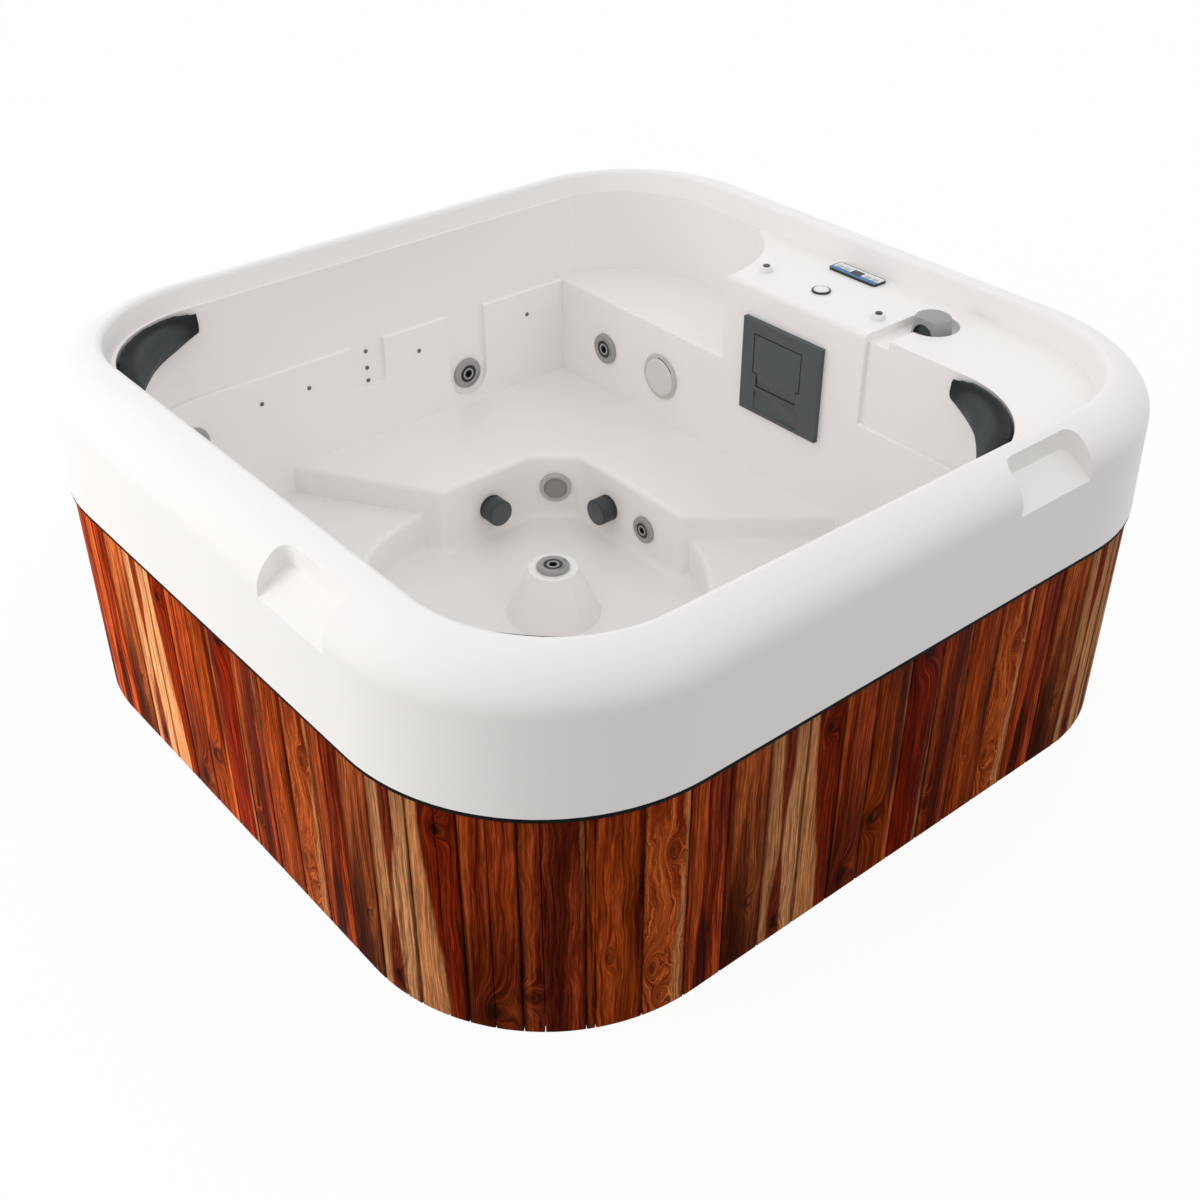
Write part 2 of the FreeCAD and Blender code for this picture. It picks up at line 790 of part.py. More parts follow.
def jet_nut(face_radius, wall):
    """Ring nut behind a wall of the given thickness."""
    bore = barrel_radius(face_radius) + fit_gap
    bottom = -wall - jet_nut_height
    return turned([(bore, bottom), (bore + jet_nut_width, bottom), (bore + jet_nut_width, -wall),
                   (bore, -wall)])


def wall_hole(radius):
    """Drill through a wall, standing on its wet face."""
    return Part.makeCylinder(radius + fit_gap, shell_wall + overrun + overrun,
                             Vector(0, 0, -shell_wall - overrun))


def light_pieces():
    """Bezel ring, domed lens and cup of the underwater light."""
    flange = light_radius - light_rim - fit_gap
    top = jet_flange_thickness
    cup = turned([(0, -light_cup_length), (light_cup_radius, -light_cup_length), (light_cup_radius, 0),
                  (flange, 0), (flange, top), (light_cup_radius - light_cup_wall, top),
                  (light_cup_radius - light_cup_wall, light_cup_wall - light_cup_length),
                  (0, light_cup_wall - light_cup_length)])
    lens = turned([(0, top), (light_lens_radius, top), (light_lens_radius, light_lens_edge),
                   (light_lens_radius - light_lens_crown, light_lens_height), (0, light_lens_height)])
    bore = light_lens_radius + fit_gap
    bezel = turned([(bore, top + fit_gap), (light_radius - light_rim, top + fit_gap),
                    (light_radius - light_rim, fit_gap), (light_radius, fit_gap),
                    (light_radius, light_rim), (light_radius - light_rim, light_lens_edge),
                    (bore, light_lens_edge)])
    return [placed(piece, *light_spot) for piece in (bezel, lens, cup)]


def suction_cover():
    """Domed cover with radial slots."""
    inner = suction_radius - suction_wall
    cover = turned([(0, suction_height - suction_wall), (inner - suction_wall, suction_height - suction_wall),
                    (inner, suction_height / 2), (inner, 0), (suction_radius, 0),
                    (suction_radius, suction_height / 2), (inner, suction_height), (0, suction_height)])
    slot = block(suction_slot_inner, suction_slot_outer, -suction_slot_width / 2, suction_slot_width / 2,
                 0, suction_height + overrun)
    slots = []
    for i in range(suction_slot_count):
        turned_slot = slot.copy()
        turned_slot.rotate(Vector(0, 0, 0), Vector(0, 0, 1), 360 * i / suction_slot_count)
        slots.append(turned_slot)
    return cover.cut(Part.makeCompound(slots))


def suction_body():
    return turned([(suction_bore_radius, -suction_pipe_length), (suction_pipe_radius, -suction_pipe_length),
                   (suction_pipe_radius, 0), (suction_flange_radius, 0),
                   (suction_flange_radius, suction_wall), (suction_bore_radius, suction_wall)])


def return_fitting():
    return turned([(suction_bore_radius, -suction_pipe_length), (suction_pipe_radius, -suction_pipe_length),
                   (suction_pipe_radius, 0), (return_radius, 0),
                   (return_radius, return_face_height - return_bevel),
                   (return_radius - return_bevel, return_face_height),
                   (return_mouth_radius, return_face_height),
                   (suction_bore_radius, 0)])


def air_injector():
    return turned([(0, -injector_stem_length), (injector_stem_radius, -injector_stem_length),
                   (injector_stem_radius, 0), (injector_head_radius, 0),
                   (injector_head_radius, injector_head_height / 2),
                   (injector_stem_radius, injector_head_height), (0, injector_head_height)])


def across(share):
    """X of a share of the skimmer plate's width, from its left edge."""
    return plate_x + plate_width * (share - 1 / 2)


def down(share):
    """Z of a share of the skimmer plate's height, from its top edge."""
    return plate_top - plate_height * share


weir_axis_y = console_front - plate_thickness / 2
weir_axis_z = down(mouth_bottom_share) + weir_knuckle_radius + fit_gap


def skimmer_plate():
    """Bevelled face plate with the stepped mouth, a recessed lower panel and the weir's pin holes."""
    front = console_front - plate_thickness
    plate = block(across(0), across(1), front, console_front, plate_bottom, plate_top)
    face_edges = [edge for edge in plate.Edges if edge.BoundBox.YMax < front + tolerance]
    plate = plate.makeChamfer(plate_bevel, face_edges)
    mouth = block(across(mouth_left_share), across(mouth_right_share), front - overrun, console_front + overrun,
                  down(mouth_neck_share), down(mouth_top_share))
    neck = block(across(neck_left_share), across(neck_right_share), front - overrun, console_front + overrun,
                 down(mouth_bottom_share), down(mouth_neck_share))
    recess = block(across(panel_left_share), across(panel_right_share), front - overrun, front + panel_recess,
                   down(panel_bottom_share), down(panel_top_share))
    bore_length = across(neck_right_share) - across(neck_left_share) + weir_pin_length + weir_pin_length
    pin_hole = Part.makeCylinder(weir_pin_radius + running_gap, bore_length,
                                 Vector(across(neck_left_share) - weir_pin_length, weir_axis_y, weir_axis_z),
                                 Vector(1, 0, 0))
    return plate.cut(Part.makeCompound([mouth, recess])).cut(neck).cut(pin_hole)


def skimmer_weir():
    """Floating flap with a narrower foot, a round knuckle and a pin at each end."""
    back = weir_axis_y + weir_thickness / 2
    front = weir_axis_y - weir_thickness / 2
    left = across(neck_left_share) + weir_gap
    right = across(neck_right_share) - weir_gap
    leaf = block(across(mouth_left_share) + weir_gap, across(mouth_right_share) - weir_gap, front, back,
                 down(mouth_neck_share) + weir_gap, down(mouth_top_share) - weir_gap)
    foot = block(left, right, front, back, weir_axis_z, down(mouth_neck_share) + weir_gap)
    knuckle = Part.makeCylinder(weir_knuckle_radius, right - left, Vector(left, weir_axis_y, weir_axis_z),
                                Vector(1, 0, 0))
    pin_left = left - weir_gap - weir_pin_length + fit_gap
    pin_right = right + weir_gap + weir_pin_length - fit_gap
    pins = Part.makeCylinder(weir_pin_radius, pin_right - pin_left, Vector(pin_left, weir_axis_y, weir_axis_z),
                             Vector(1, 0, 0))
    return leaf.multiFuse([foot, knuckle, pins]).removeSplitter()


housing_left = across(mouth_left_share) - housing_margin
housing_right = across(mouth_right_share) + housing_margin
housing_top = down(mouth_top_share) + housing_margin
housing_bottom = down(mouth_bottom_share) - housing_drop
housing_front = console_front + shell_wall
housing_back = housing_front + housing_depth
filter_y = suction_line_y


def skimmer_housing():
    """Open-fronted box behind the mouth, with an outlet in its floor under the filter."""
    box = block(housing_left, housing_right, housing_front, housing_back, housing_bottom, housing_top)
    inside = block(housing_left + housing_wall, housing_right - housing_wall, housing_front - overrun,
                   housing_back - housing_wall, housing_bottom + housing_wall, housing_top - housing_wall)
    outlet = Part.makeCylinder(pipe_radius - pipe_wall, housing_wall + overrun + overrun,
                               Vector(plate_x, filter_y, housing_bottom - overrun))
    return box.cut(inside).cut(outlet)


def filter_cartridge():
    """Pleated cartridge between two end caps, standing on the housing floor over the outlet."""
    bottom = housing_bottom + housing_wall
    rim = []
    for i in range(filter_pleat_count * 2):
        radius = filter_radius - filter_pleat_depth * (i % 2) - fit_gap
        angle = math.pi * i / filter_pleat_count
        rim.append((plate_x + radius * math.cos(angle), filter_y + radius * math.sin(angle)))
    pleats = prism(rim, [0] * len(rim), bottom + filter_cap_height / 2,
                   bottom + filter_height - filter_cap_height / 2)
    caps = [Part.makeCylinder(filter_radius, filter_cap_height, Vector(plate_x, filter_y, bottom)),
            Part.makeCylinder(filter_radius, filter_cap_height,
                              Vector(plate_x, filter_y, bottom + filter_height - filter_cap_height))]
    bore = Part.makeCylinder(filter_bore_radius, filter_height + overrun,
                             Vector(plate_x, filter_y, bottom - overrun / 2))
    return pleats.multiFuse(caps).cut(bore)


def mouth_hole():
    """Opening through the console wall behind the skimmer plate."""
    return block(housing_left + housing_wall, housing_right - housing_wall, console_front - overrun,
                 console_front + shell_wall + overrun, housing_bottom + housing_margin + housing_wall,
                 housing_top - housing_wall)


topside_x = console_offset + panel_shift
topside_y = console_front + panel_setback_y
panel_top_z = deck_z + panel_thickness
key_spots = [topside_x + panel_length * share for share in key_shares]


def centred(x, y, length, width):
    return rectangle(x - length / 2, x + length / 2, y - width / 2, y + width / 2)


def topside_panel():
    """Control panel on the deck with a display window, four key wells and a tail below the deck."""
    top = prism(centred(topside_x, topside_y, panel_length, panel_width), [panel_radius_plan] * 4, deck_z,
                panel_top_z)
    tail = prism(centred(topside_x, topside_y, panel_tail_length, panel_tail_width), [panel_radius_plan] * 4,
                 deck_z - panel_tail_depth, deck_z)
    window = prism(centred(topside_x, topside_y, display_length, display_width), [key_radius / 2] * 4,
                   panel_top_z - display_sink, panel_top_z + overrun)
    wells = [prism(centred(x, topside_y, key_length, key_width), [key_radius] * 4,
                   panel_top_z - key_sink - key_floor_gap, panel_top_z + overrun, fit_gap) for x in key_spots]
    return top.fuse(tail).removeSplitter().cut(Part.makeCompound([window] + wells))


def topside_display():
    return prism(centred(topside_x, topside_y, display_length, display_width), [key_radius / 2] * 4,
                 panel_top_z - display_sink, panel_top_z + display_proud, -fit_gap)


def topside_key(x):
    bottom = panel_top_z - key_sink
    key = prism(centred(x, topside_y, key_length, key_width), [key_radius] * 4, bottom, bottom + key_height)
    crown = [edge for edge in key.Edges if edge.BoundBox.ZMin > bottom + key_height - tolerance]
    return key.makeFillet(key_round, crown)


def on_deck(setback_spot):
    """Deck point from an x and a setback behind the console's front."""
    return (setback_spot[0], console_front + setback_spot[1], deck_z)


def air_button_body():
    well = button_cap_radius + fit_gap
    return turned([(0, -button_tail_length), (button_tail_radius, -button_tail_length), (button_tail_radius, 0),
                   (button_ring_radius, 0), (button_ring_radius, button_ring_height / 2),
                   (button_ring_radius - button_ring_height / 2, button_ring_height),
                   (well, button_ring_height),
                   (well, -button_well_depth), (0, -button_well_depth)])


def air_button_cap():
    top = button_cap_height - button_cap_sink
    return turned([(0, -button_cap_sink), (button_cap_radius, -button_cap_sink),
                   (button_cap_radius, top - button_dish), (button_cap_radius - button_dish, top),
                   (button_cap_radius / 2, top - button_dish / 2), (0, top - button_dish)])


def air_valve_body():
    bore = air_stem_radius + running_gap
    return turned([(0, -air_tail_length), (air_tail_radius, -air_tail_length), (air_tail_radius, 0),
                   (air_collar_radius, 0), (air_collar_radius, air_collar_height / 2),
                   (air_cap_radius, air_collar_height), (bore, air_collar_height),
                   (bore, air_collar_height - air_stem_length - air_cap_bevel),
                   (0, air_collar_height - air_stem_length - air_cap_bevel)])


def air_valve_cap():
    """Turning cap with a stem in the collar and a pointer rib across its top."""
    seat = air_collar_height + fit_gap
    top = seat + air_cap_height
    cap = turned([(0, air_collar_height - air_stem_length),
                  (air_stem_radius, air_collar_height - air_stem_length),
                  (air_stem_radius, seat), (air_cap_radius, seat), (air_cap_radius, top - air_cap_bevel),
                  (air_cap_radius - air_cap_bevel, top), (0, top)])
    rib = block(-air_cap_bevel / 2, air_cap_bevel / 2, 0, air_cap_radius - air_cap_bevel, seat + air_cap_bevel,
                top + air_cap_bevel / 2)
    return cap.fuse(rib).removeSplitter()


def diverter_body():
    """Valve body hung under the pocket, its neck flush with the pocket floor, inlet facing the riser."""
    under = -shell_wall - fit_gap
    bore = knob_stem_radius + running_gap
    body = turned([(0, under - diverter_body_height), (diverter_body_radius, under - diverter_body_height),
                   (diverter_body_radius, under), (diverter_neck_radius, under),
                   (diverter_neck_radius, 0), (0, 0)])
    inlet = Part.makeCylinder(pipe_radius, diverter_body_radius + diverter_inlet_length,
                              Vector(0, 0, under - diverter_body_height / 2), Vector(-1, 0, 0))
    stem_bore = Part.makeCylinder(bore, knob_stem_length + fit_gap + overrun,
                                  Vector(0, 0, -knob_stem_length - fit_gap))
    return body.fuse(inlet).removeSplitter().cut(stem_bore)


def diverter_knob():
    """Tapered knob with a half-round finger recess and a stem in the valve body."""
    seat = fit_gap
    top = seat + knob_height
    knob = turned([(0, -knob_stem_length), (knob_stem_radius, -knob_stem_length), (knob_stem_radius, seat),
                   (knob_base_radius, seat), (knob_base_radius, seat + knob_round),
                   (knob_top_radius, top - knob_round), (knob_top_radius - knob_round, top), (0, top)])
    recess = Part.makeCylinder(knob_recess_radius, knob_recess_depth + overrun,
                               Vector(0, 0, top - knob_recess_depth), Vector(0, 0, 1), 180)
    recess.rotate(Vector(0, 0, 0), Vector(0, 0, 1), knob_recess_turn)
    recess.translate(Vector(-knob_recess_set, -knob_recess_set, 0))
    return knob.cut(recess)


pillow_corners = {
    "left": ((upper_radius - upper_half, upper_radius - upper_half), 180),
    "near": ((upper_half - upper_radius, upper_radius - upper_half), 270),
    "right": ((upper_half - upper_radius, right_deck_front - upper_radius), 0),
}


def head_pillow(corner):
    """Crescent pillow lofted through upright sections round the corner of the upper wall."""
    centre, first_angle = pillow_corners[corner]
    count = len(pillow_thickness_shares)
    sections = []
    for i in range(count):
        angle = math.radians(first_angle - pillow_tip_angle + (90 + pillow_tip_angle * 2) * i / (count - 1))
        thick = pillow_thickness * pillow_thickness_shares[i]
        tall = pillow_height * pillow_height_shares[i]
        top = deck_z + pillow_top_rise - (pillow_height - tall) / 2
        sections.append(pillow_section(centre, angle, thick, tall, top))
    return Part.makeLoft(sections, True, False)


def pillow_section(centre, angle, thick, tall, top):
    """One section: flat back on the wall, crowned top and front that meet in a soft ridge."""
    def at(inward, height):
        reach = upper_radius - fit_gap - inward
        return Vector(centre[0] + reach * math.cos(angle), centre[1] + reach * math.sin(angle), height)
    bottom = top - tall
    ridge = bottom + tall * pillow_ridge_share
    back = Part.LineSegment(at(0, top), at(0, bottom)).toShape()
    belly = thick * pillow_belly_share
    draw = tall * pillow_draw_share
    under = Part.Arc(at(0, bottom), at(belly, bottom + draw), at(thick, ridge)).toShape()
    crown = Part.Arc(at(thick, ridge), at(belly, top - draw), at(0, top)).toShape()
    return Part.Wire([back, under, crown])


def pillow_pin_spots(corner):
    """Wall points and outward directions of a pillow's two pins."""
    centre, first_angle = pillow_corners[corner]
    spots = []
    for side in (-1, 1):
        angle = math.radians(first_angle + 45 + side * pin_angle)
        way = Vector(math.cos(angle), math.sin(angle), 0)
        spots.append((Vector(centre[0], centre[1], deck_z - pin_drop) + way * upper_radius, way))
    return spots


def pin_cylinder(point, way, grow):
    """Pillow pin, from inside the pillow out through the wall."""
    return Part.makeCylinder(pin_radius + grow, pin_length + grow, point - way * (pin_sink + grow), way)


skirt_centres = [Vector(-skirt_run_x, -skirt_run_y, 0), Vector(skirt_run_x, -skirt_run_y, 0),
                 Vector(skirt_run_x, skirt_run_y, 0), Vector(-skirt_run_x, skirt_run_y, 0)]


def corner_place(quarter, share):
    """Arc centre and outward angle at a share of one of the skirt's corners."""
    return skirt_centres[quarter], 180 + 90 * (quarter + share)


def side_place(quarter, share):
    """Point on the line between two arc centres and outward angle at a share of one of the skirt's sides."""
    start = skirt_centres[quarter]
    end = skirt_centres[(quarter + 1) % len(skirt_centres)]
    return start + (end - start) * share, 270 + 90 * quarter


def plank_groove(base, angle):
    """Narrow gap through the planks that opens into a small V on their face."""
    half = plank_gap / 2
    inner = skirt_radius - plank_thickness - overrun
    root = skirt_radius - plank_chamfer
    brim = skirt_radius + overrun
    wide = half + plank_chamfer + overrun
    points = [(inner, -half), (root, -half), (brim, -wide), (brim, wide), (root, half), (inner, half)]
    groove = prism(points, [0] * len(points), plank_lift - overrun, seal_z + overrun)
    groove.rotate(Vector(0, 0, 0), Vector(0, 0, 1), angle)
    groove.translate(base)
    return groove


def planks():
    """Boards round the tub: one bent ring parted by the grooves."""
    grooves = []
    for quarter in range(len(skirt_centres)):
        grooves += [plank_groove(*corner_place(quarter, share)) for share in corner_groove_shares[quarter]]
        grooves += [plank_groove(*side_place(quarter, share)) for share in side_groove_shares[quarter]]
    return frame_ring(plank_lift, seal_z, 0, plank_thickness).cut(Part.makeCompound(grooves)).Solids


def skirt_name(board):
    """Name of the skirt's side or corner that a board belongs to."""
    x, y = board.CenterOfMass.x, board.CenterOfMass.y
    if abs(x) < skirt_run_x:
        return "skirt_front" if y < 0 else "skirt_back"
    if abs(y) < skirt_run_y:
        return "skirt_left" if x < 0 else "skirt_right"
    if y < 0:
        return "skirt_corner_left" if x < 0 else "skirt_corner_near"
    return "skirt_corner_back" if x < 0 else "skirt_corner_right"


def frame_ring(bottom, top, outset, depth):
    """Ring of the frame: outset inward from the skirt's face, then as deep as given."""
    skirt = square(skirt_half_x, skirt_half_y)
    radii = [skirt_radius] * 4
    outer = prism(skirt, radii, bottom, top, -outset)
    inner = prism(skirt, radii, bottom - overrun, top + overrun, -outset - depth)
    return outer.cut(inner)


rail_outset = plank_thickness + fit_gap
lower_rail_top = base_thickness + lower_rail_height
upper_rail_bottom = seal_z - upper_rail_height


def frame_posts():
    """Two posts on each side between the rails."""
    posts = []
    for quarters in range(4):
        if quarters % 2 == 0:
            half, run = skirt_half_y, skirt_run_x
        else:
            half, run = skirt_half_x, skirt_run_y
        for side in (-1, 1):
            x = side * run * post_share
            post = block(x - post_width / 2, x + post_width / 2, rail_outset - half,
                         rail_outset + rail_depth - half, lower_rail_top, upper_rail_bottom)
            posts.append(quarter_turned(post, quarters))
    return group(posts)


def base_pan():
    return prism(square(skirt_half_x, skirt_half_y), [skirt_radius] * 4, 0, base_thickness, -rail_outset)


def footwell_support():
    centre = spot(footwell_centre_share)
    height = floor_height - shell_wall - base_thickness
    ring = Part.makeCylinder(support_radius, height, Vector(*centre, base_thickness))
    return ring.cut(Part.makeCylinder(support_radius - support_wall, height, Vector(*centre, base_thickness)))


def pipe_along(points, bend, radius):
    """Round bar along straight runs joined by arcs of one bend radius."""
    edges = []
    start = points[0]
    for i in range(1, len(points) - 1):
        back = (points[i - 1] - points[i]).normalize()
        on = (points[i + 1] - points[i]).normalize()
        half = back.getAngle(on) / 2
        run = bend / math.tan(half)
        middle = points[i] + (back + on).normalize() * (bend / math.sin(half) - bend)
        edges.append(Part.LineSegment(start, points[i] + back * run).toShape())
        edges.append(Part.Arc(points[i] + back * run, middle, points[i] + on * run).toShape())
        start = points[i] + on * run
    edges.append(Part.LineSegment(start, points[-1]).toShape())
    way = (points[1] - points[0]).normalize()
    section = Part.Wire(Part.makeCircle(radius, points[0], way))
    sweep = Part.BRepOffsetAPI.MakePipeShell(Part.Wire(edges))
    sweep.add(section)
    sweep.build()
    sweep.makeSolid()
    return sweep.shape()


wet_end_top = pump_axis_z + wet_end_radius
riser_x = pump_x + wet_end_length / 2
riser_y = diverter_spot[1]
diverter_inlet_z = groove_z - shell_wall - fit_gap - diverter_body_height / 2
diverter_inlet_x = diverter_spot[0] - diverter_body_radius - diverter_inlet_length
heater_bottom = wet_end_top + wet_end_collar + heater_rise
heater_top = heater_bottom + heater_length


def pump_wet_end():
    """Volute with an inlet collar on its face and an outlet collar upward."""
    volute = Part.makeCylinder(wet_end_radius, wet_end_length, Vector(pump_x, suction_line_y, pump_axis_z),
                               Vector(1, 0, 0))
    inlet = Part.makeCylinder(pipe_radius + pipe_wall, wet_end_collar + overrun,
                              Vector(pump_x - wet_end_collar, suction_line_y, pump_axis_z), Vector(1, 0, 0))
    outlet = Part.makeCylinder(pipe_radius + pipe_wall, wet_end_radius + wet_end_collar,
                               Vector(riser_x, riser_y, pump_axis_z), Vector(0, 0, 1))
    return volute.multiFuse([inlet, outlet]).removeSplitter()


def pump_motor():
    """Finned motor behind the wet end, on a foot that stands on the base."""
    start = pump_x + wet_end_length
    core = Part.makeCylinder(motor_radius, motor_length, Vector(start, suction_line_y, pump_axis_z),
                             Vector(1, 0, 0))
    fins = []
    fin = block(start + motor_fin_width * 2, start + motor_length - motor_fin_width * 2, -motor_fin_width / 2,
                motor_fin_width / 2, 0, motor_radius + motor_fin_depth)
    fin.translate(Vector(0, suction_line_y, pump_axis_z))
    for i in range(motor_fin_count):
        turned_fin = fin.copy()
        turned_fin.rotate(Vector(0, suction_line_y, pump_axis_z), Vector(1, 0, 0), 360 * i / motor_fin_count)
        fins.append(turned_fin)
    foot = block(start + motor_fin_width * 4, start + motor_length - motor_fin_width * 4,
                 suction_line_y - motor_foot_width / 2, suction_line_y + motor_foot_width / 2, base_thickness,
                 pump_axis_z)
    return core.multiFuse(fins + [foot]).removeSplitter()


def heater():
    """Heater canister in the riser, with a collar at each end."""
    base = Vector(riser_x, riser_y, heater_bottom)
    tank = Part.makeCylinder(heater_radius, heater_length, base)
    low = Part.makeCylinder(heater_collar_radius, heater_collar_length, base)
    high = Part.makeCylinder(heater_collar_radius, heater_collar_length,
                             Vector(riser_x, riser_y, heater_top - heater_collar_length))
    return tank.multiFuse([low, high]).removeSplitter()


def pressure_pipes():
    """Riser from the pump to the heater, and on from the heater to the diverter's inlet."""
    lower = pipe_along([Vector(riser_x, riser_y, wet_end_top + wet_end_collar),
                        Vector(riser_x, riser_y, heater_bottom)], riser_bend, pipe_radius)
    upper = pipe_along([Vector(riser_x, riser_y, heater_top), Vector(riser_x, riser_y, diverter_inlet_z),
                        Vector(diverter_inlet_x, riser_y, diverter_inlet_z)], riser_bend, pipe_radius)
    return group([lower, upper])


def suction_pipes():
    """Pipes from both suction bodies and the skimmer, joined into the pump's inlet."""
    back_x = suctions[1][0][0]
    left_point = suctions[0][0]
    z = pump_axis_z
    trunk = pipe_along([Vector(back_x, back_wall_y + suction_pipe_length, z), Vector(back_x, suction_line_y, z),
                        Vector(pump_x - wet_end_collar, suction_line_y, z)], pipe_bend, pipe_radius)
    left_x = left_point[0] - suction_pipe_length - left_suction_run
    join_y = back_wall_y + left_suction_join
    branch = pipe_along([Vector(left_point[0] - suction_pipe_length, left_point[1], z),
                         Vector(left_x, left_point[1], z), Vector(left_x, join_y, z),
                         Vector(back_x, join_y, z)],
                        pipe_bend, branch_radius)
    drop = pipe_along([Vector(plate_x, filter_y, housing_bottom), Vector(plate_x, filter_y, z)], pipe_bend,
                      branch_radius)
    return trunk.multiFuse([branch, drop]).removeSplitter()


def control_box():
    x = skirt_half_x - control_box_setback[0]
    y = skirt_half_y - control_box_setback[1]
    box = prism(centred(x, y, control_box_length, control_box_width), [control_box_round] * 4, base_thickness,
                base_thickness + control_box_height)
    lid = [edge for edge in box.Edges if edge.BoundBox.ZMin > base_thickness + control_box_height - tolerance]
    return box.makeFillet(control_box_round / 2, lid)


def rim_seal():
    return frame_ring(seal_z, rim_z, seal_inset, plank_thickness + rail_depth / 2)


def drilled_shell():
    """The moulded shell with a boss for the corner jet and a hole for every fitting."""
    point, normal, radius = jets["corner"]
    boss = placed(Part.makeCylinder(radius + corner_boss_rim, corner_wall, Vector(0, 0, -corner_wall)),
                  point, normal)
    holes = [placed(wall_hole(barrel_radius(radius)), point, normal) for point, normal, radius in jets.values()]
    holes += [placed(wall_hole(suction_pipe_radius), *place) for place in suctions + [return_spot]]
    holes += [placed(wall_hole(injector_stem_radius), *place) for place in injectors]
    holes.append(placed(wall_hole(light_cup_radius), *light_spot))
    holes.append(placed(wall_hole(button_tail_radius), on_deck(button_spot), Vector(0, 0, 1)))
    holes += [placed(wall_hole(air_tail_radius), on_deck(place), Vector(0, 0, 1))
              for place in (air_valve_left, air_valve_right)]
    holes.append(placed(wall_hole(diverter_neck_radius), (*diverter_spot, groove_z), Vector(0, 0, 1)))
    holes.append(prism(centred(topside_x, topside_y, panel_tail_length, panel_tail_width),
                       [panel_radius_plan] * 4, deck_z - shell_wall - overrun, deck_z + overrun, fit_gap))
    holes.append(mouth_hole())
    for corner in pillow_corners:
        holes += [pin_cylinder(pin_point, way, fit_gap) for pin_point, way in pillow_pin_spots(corner)]
    return shell_blank().fuse(boss).cut(Part.makeCompound(holes))


pieces = {"shell": drilled_shell(), "rim_seal": rim_seal()}

boards = {}
for board in planks():
    boards.setdefault(skirt_name(board), []).append(board)
for name, members in boards.items():
    pieces[name] = group(members)

pieces["lower_rail"] = frame_ring(base_thickness, lower_rail_top, rail_outset, rail_depth)
pieces["upper_rail"] = frame_ring(upper_rail_bottom, seal_z, rail_outset, rail_depth)
pieces["frame_posts"] = frame_posts()
pieces["base_pan"] = base_pan()
pieces["footwell_support"] = footwell_support()

all_pins = []
for corner in pillow_corners:
    spots = pillow_pin_spots(corner)
    sockets = [pin_cylinder(point, way, fit_gap) for point, way in spots]
    pieces["pillow_" + corner] = head_pillow(corner).cut(Part.makeCompound(sockets))
    all_pins += [pin_cylinder(point, way, 0) for point, way in spots]
pieces["pillow_pins"] = group(all_pins)

for name, (point, normal, radius) in jets.items():
    pieces["jet_bezel_" + name] = placed(jet_bezel(radius), point, normal)
places = jets.values()
pieces["jet_bodies"] = group([placed(jet_body(radius), point, normal) for point, normal, radius in places])
pieces["jet_nozzles"] = group([placed(jet_nozzle(radius), point, normal) for point, normal, radius in places])
nuts = [placed(jet_nut(radius, corner_wall if name == "corner" else shell_wall), point, normal)
        for name, (point, normal, radius) in jets.items()]
pieces["jet_nuts"] = group(nuts)

pieces["light_bezel"], pieces["light_lens"], pieces["light_cup"] = light_pieces()
pieces["suction_covers"] = group([placed(suction_cover(), *place) for place in suctions])
pieces["suction_bodies"] = group([placed(suction_body(), *place) for place in suctions])
pieces["return_fitting"] = placed(return_fitting(), *return_spot)
pieces["air_injectors"] = group([placed(air_injector(), *place) for place in injectors])

pieces["skimmer_plate"] = skimmer_plate()
pieces["skimmer_weir"] = skimmer_weir()
pieces["skimmer_housing"] = skimmer_housing()
pieces["filter_cartridge"] = filter_cartridge()

pieces["topside_panel"] = topside_panel()
pieces["topside_display"] = topside_display()
for number, x in enumerate(key_spots, 1):
    pieces["topside_key_" + str(number)] = topside_key(x)
pieces["air_button_body"] = placed(air_button_body(), on_deck(button_spot), Vector(0, 0, 1))
pieces["air_button_cap"] = placed(air_button_cap(), on_deck(button_spot), Vector(0, 0, 1))
valve_places = {"left": on_deck(air_valve_left), "right": on_deck(air_valve_right)}
pieces["air_valve_bodies"] = group([placed(air_valve_body(), place, Vector(0, 0, 1))
                                    for place in valve_places.values()])
for name, place in valve_places.items():
    pieces["air_valve_cap_" + name] = placed(air_valve_cap(), place, Vector(0, 0, 1))
pieces["diverter_body"] = placed(diverter_body(), (*diverter_spot, groove_z), Vector(0, 0, 1))
pieces["diverter_knob"] = placed(diverter_knob(), (*diverter_spot, groove_z), Vector(0, 0, 1))

pieces["pump_wet_end"] = pump_wet_end()
pieces["pump_motor"] = pump_motor()
pieces["heater"] = heater()
pieces["pressure_pipes"] = pressure_pipes()
pieces["suction_pipes"] = suction_pipes()
pieces["control_box"] = control_box()

os.makedirs("parts", exist_ok=True)
for name, shape in pieces.items():
    shape.exportStep("parts/" + name + ".step")
    print(name, len(shape.Solids), round(shape.Volume), shape.isValid())
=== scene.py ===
# %% [markdown]
# The tub arrives as a imported model: every solid is a node that sits at the origin, with its place in
# its mesh, and every node already rides on the body that moves it. This script only gives the nodes
# their looks, so it starts by loading them.

import json
import math

import bmesh
import bpy
from mathutils import Matrix, Vector


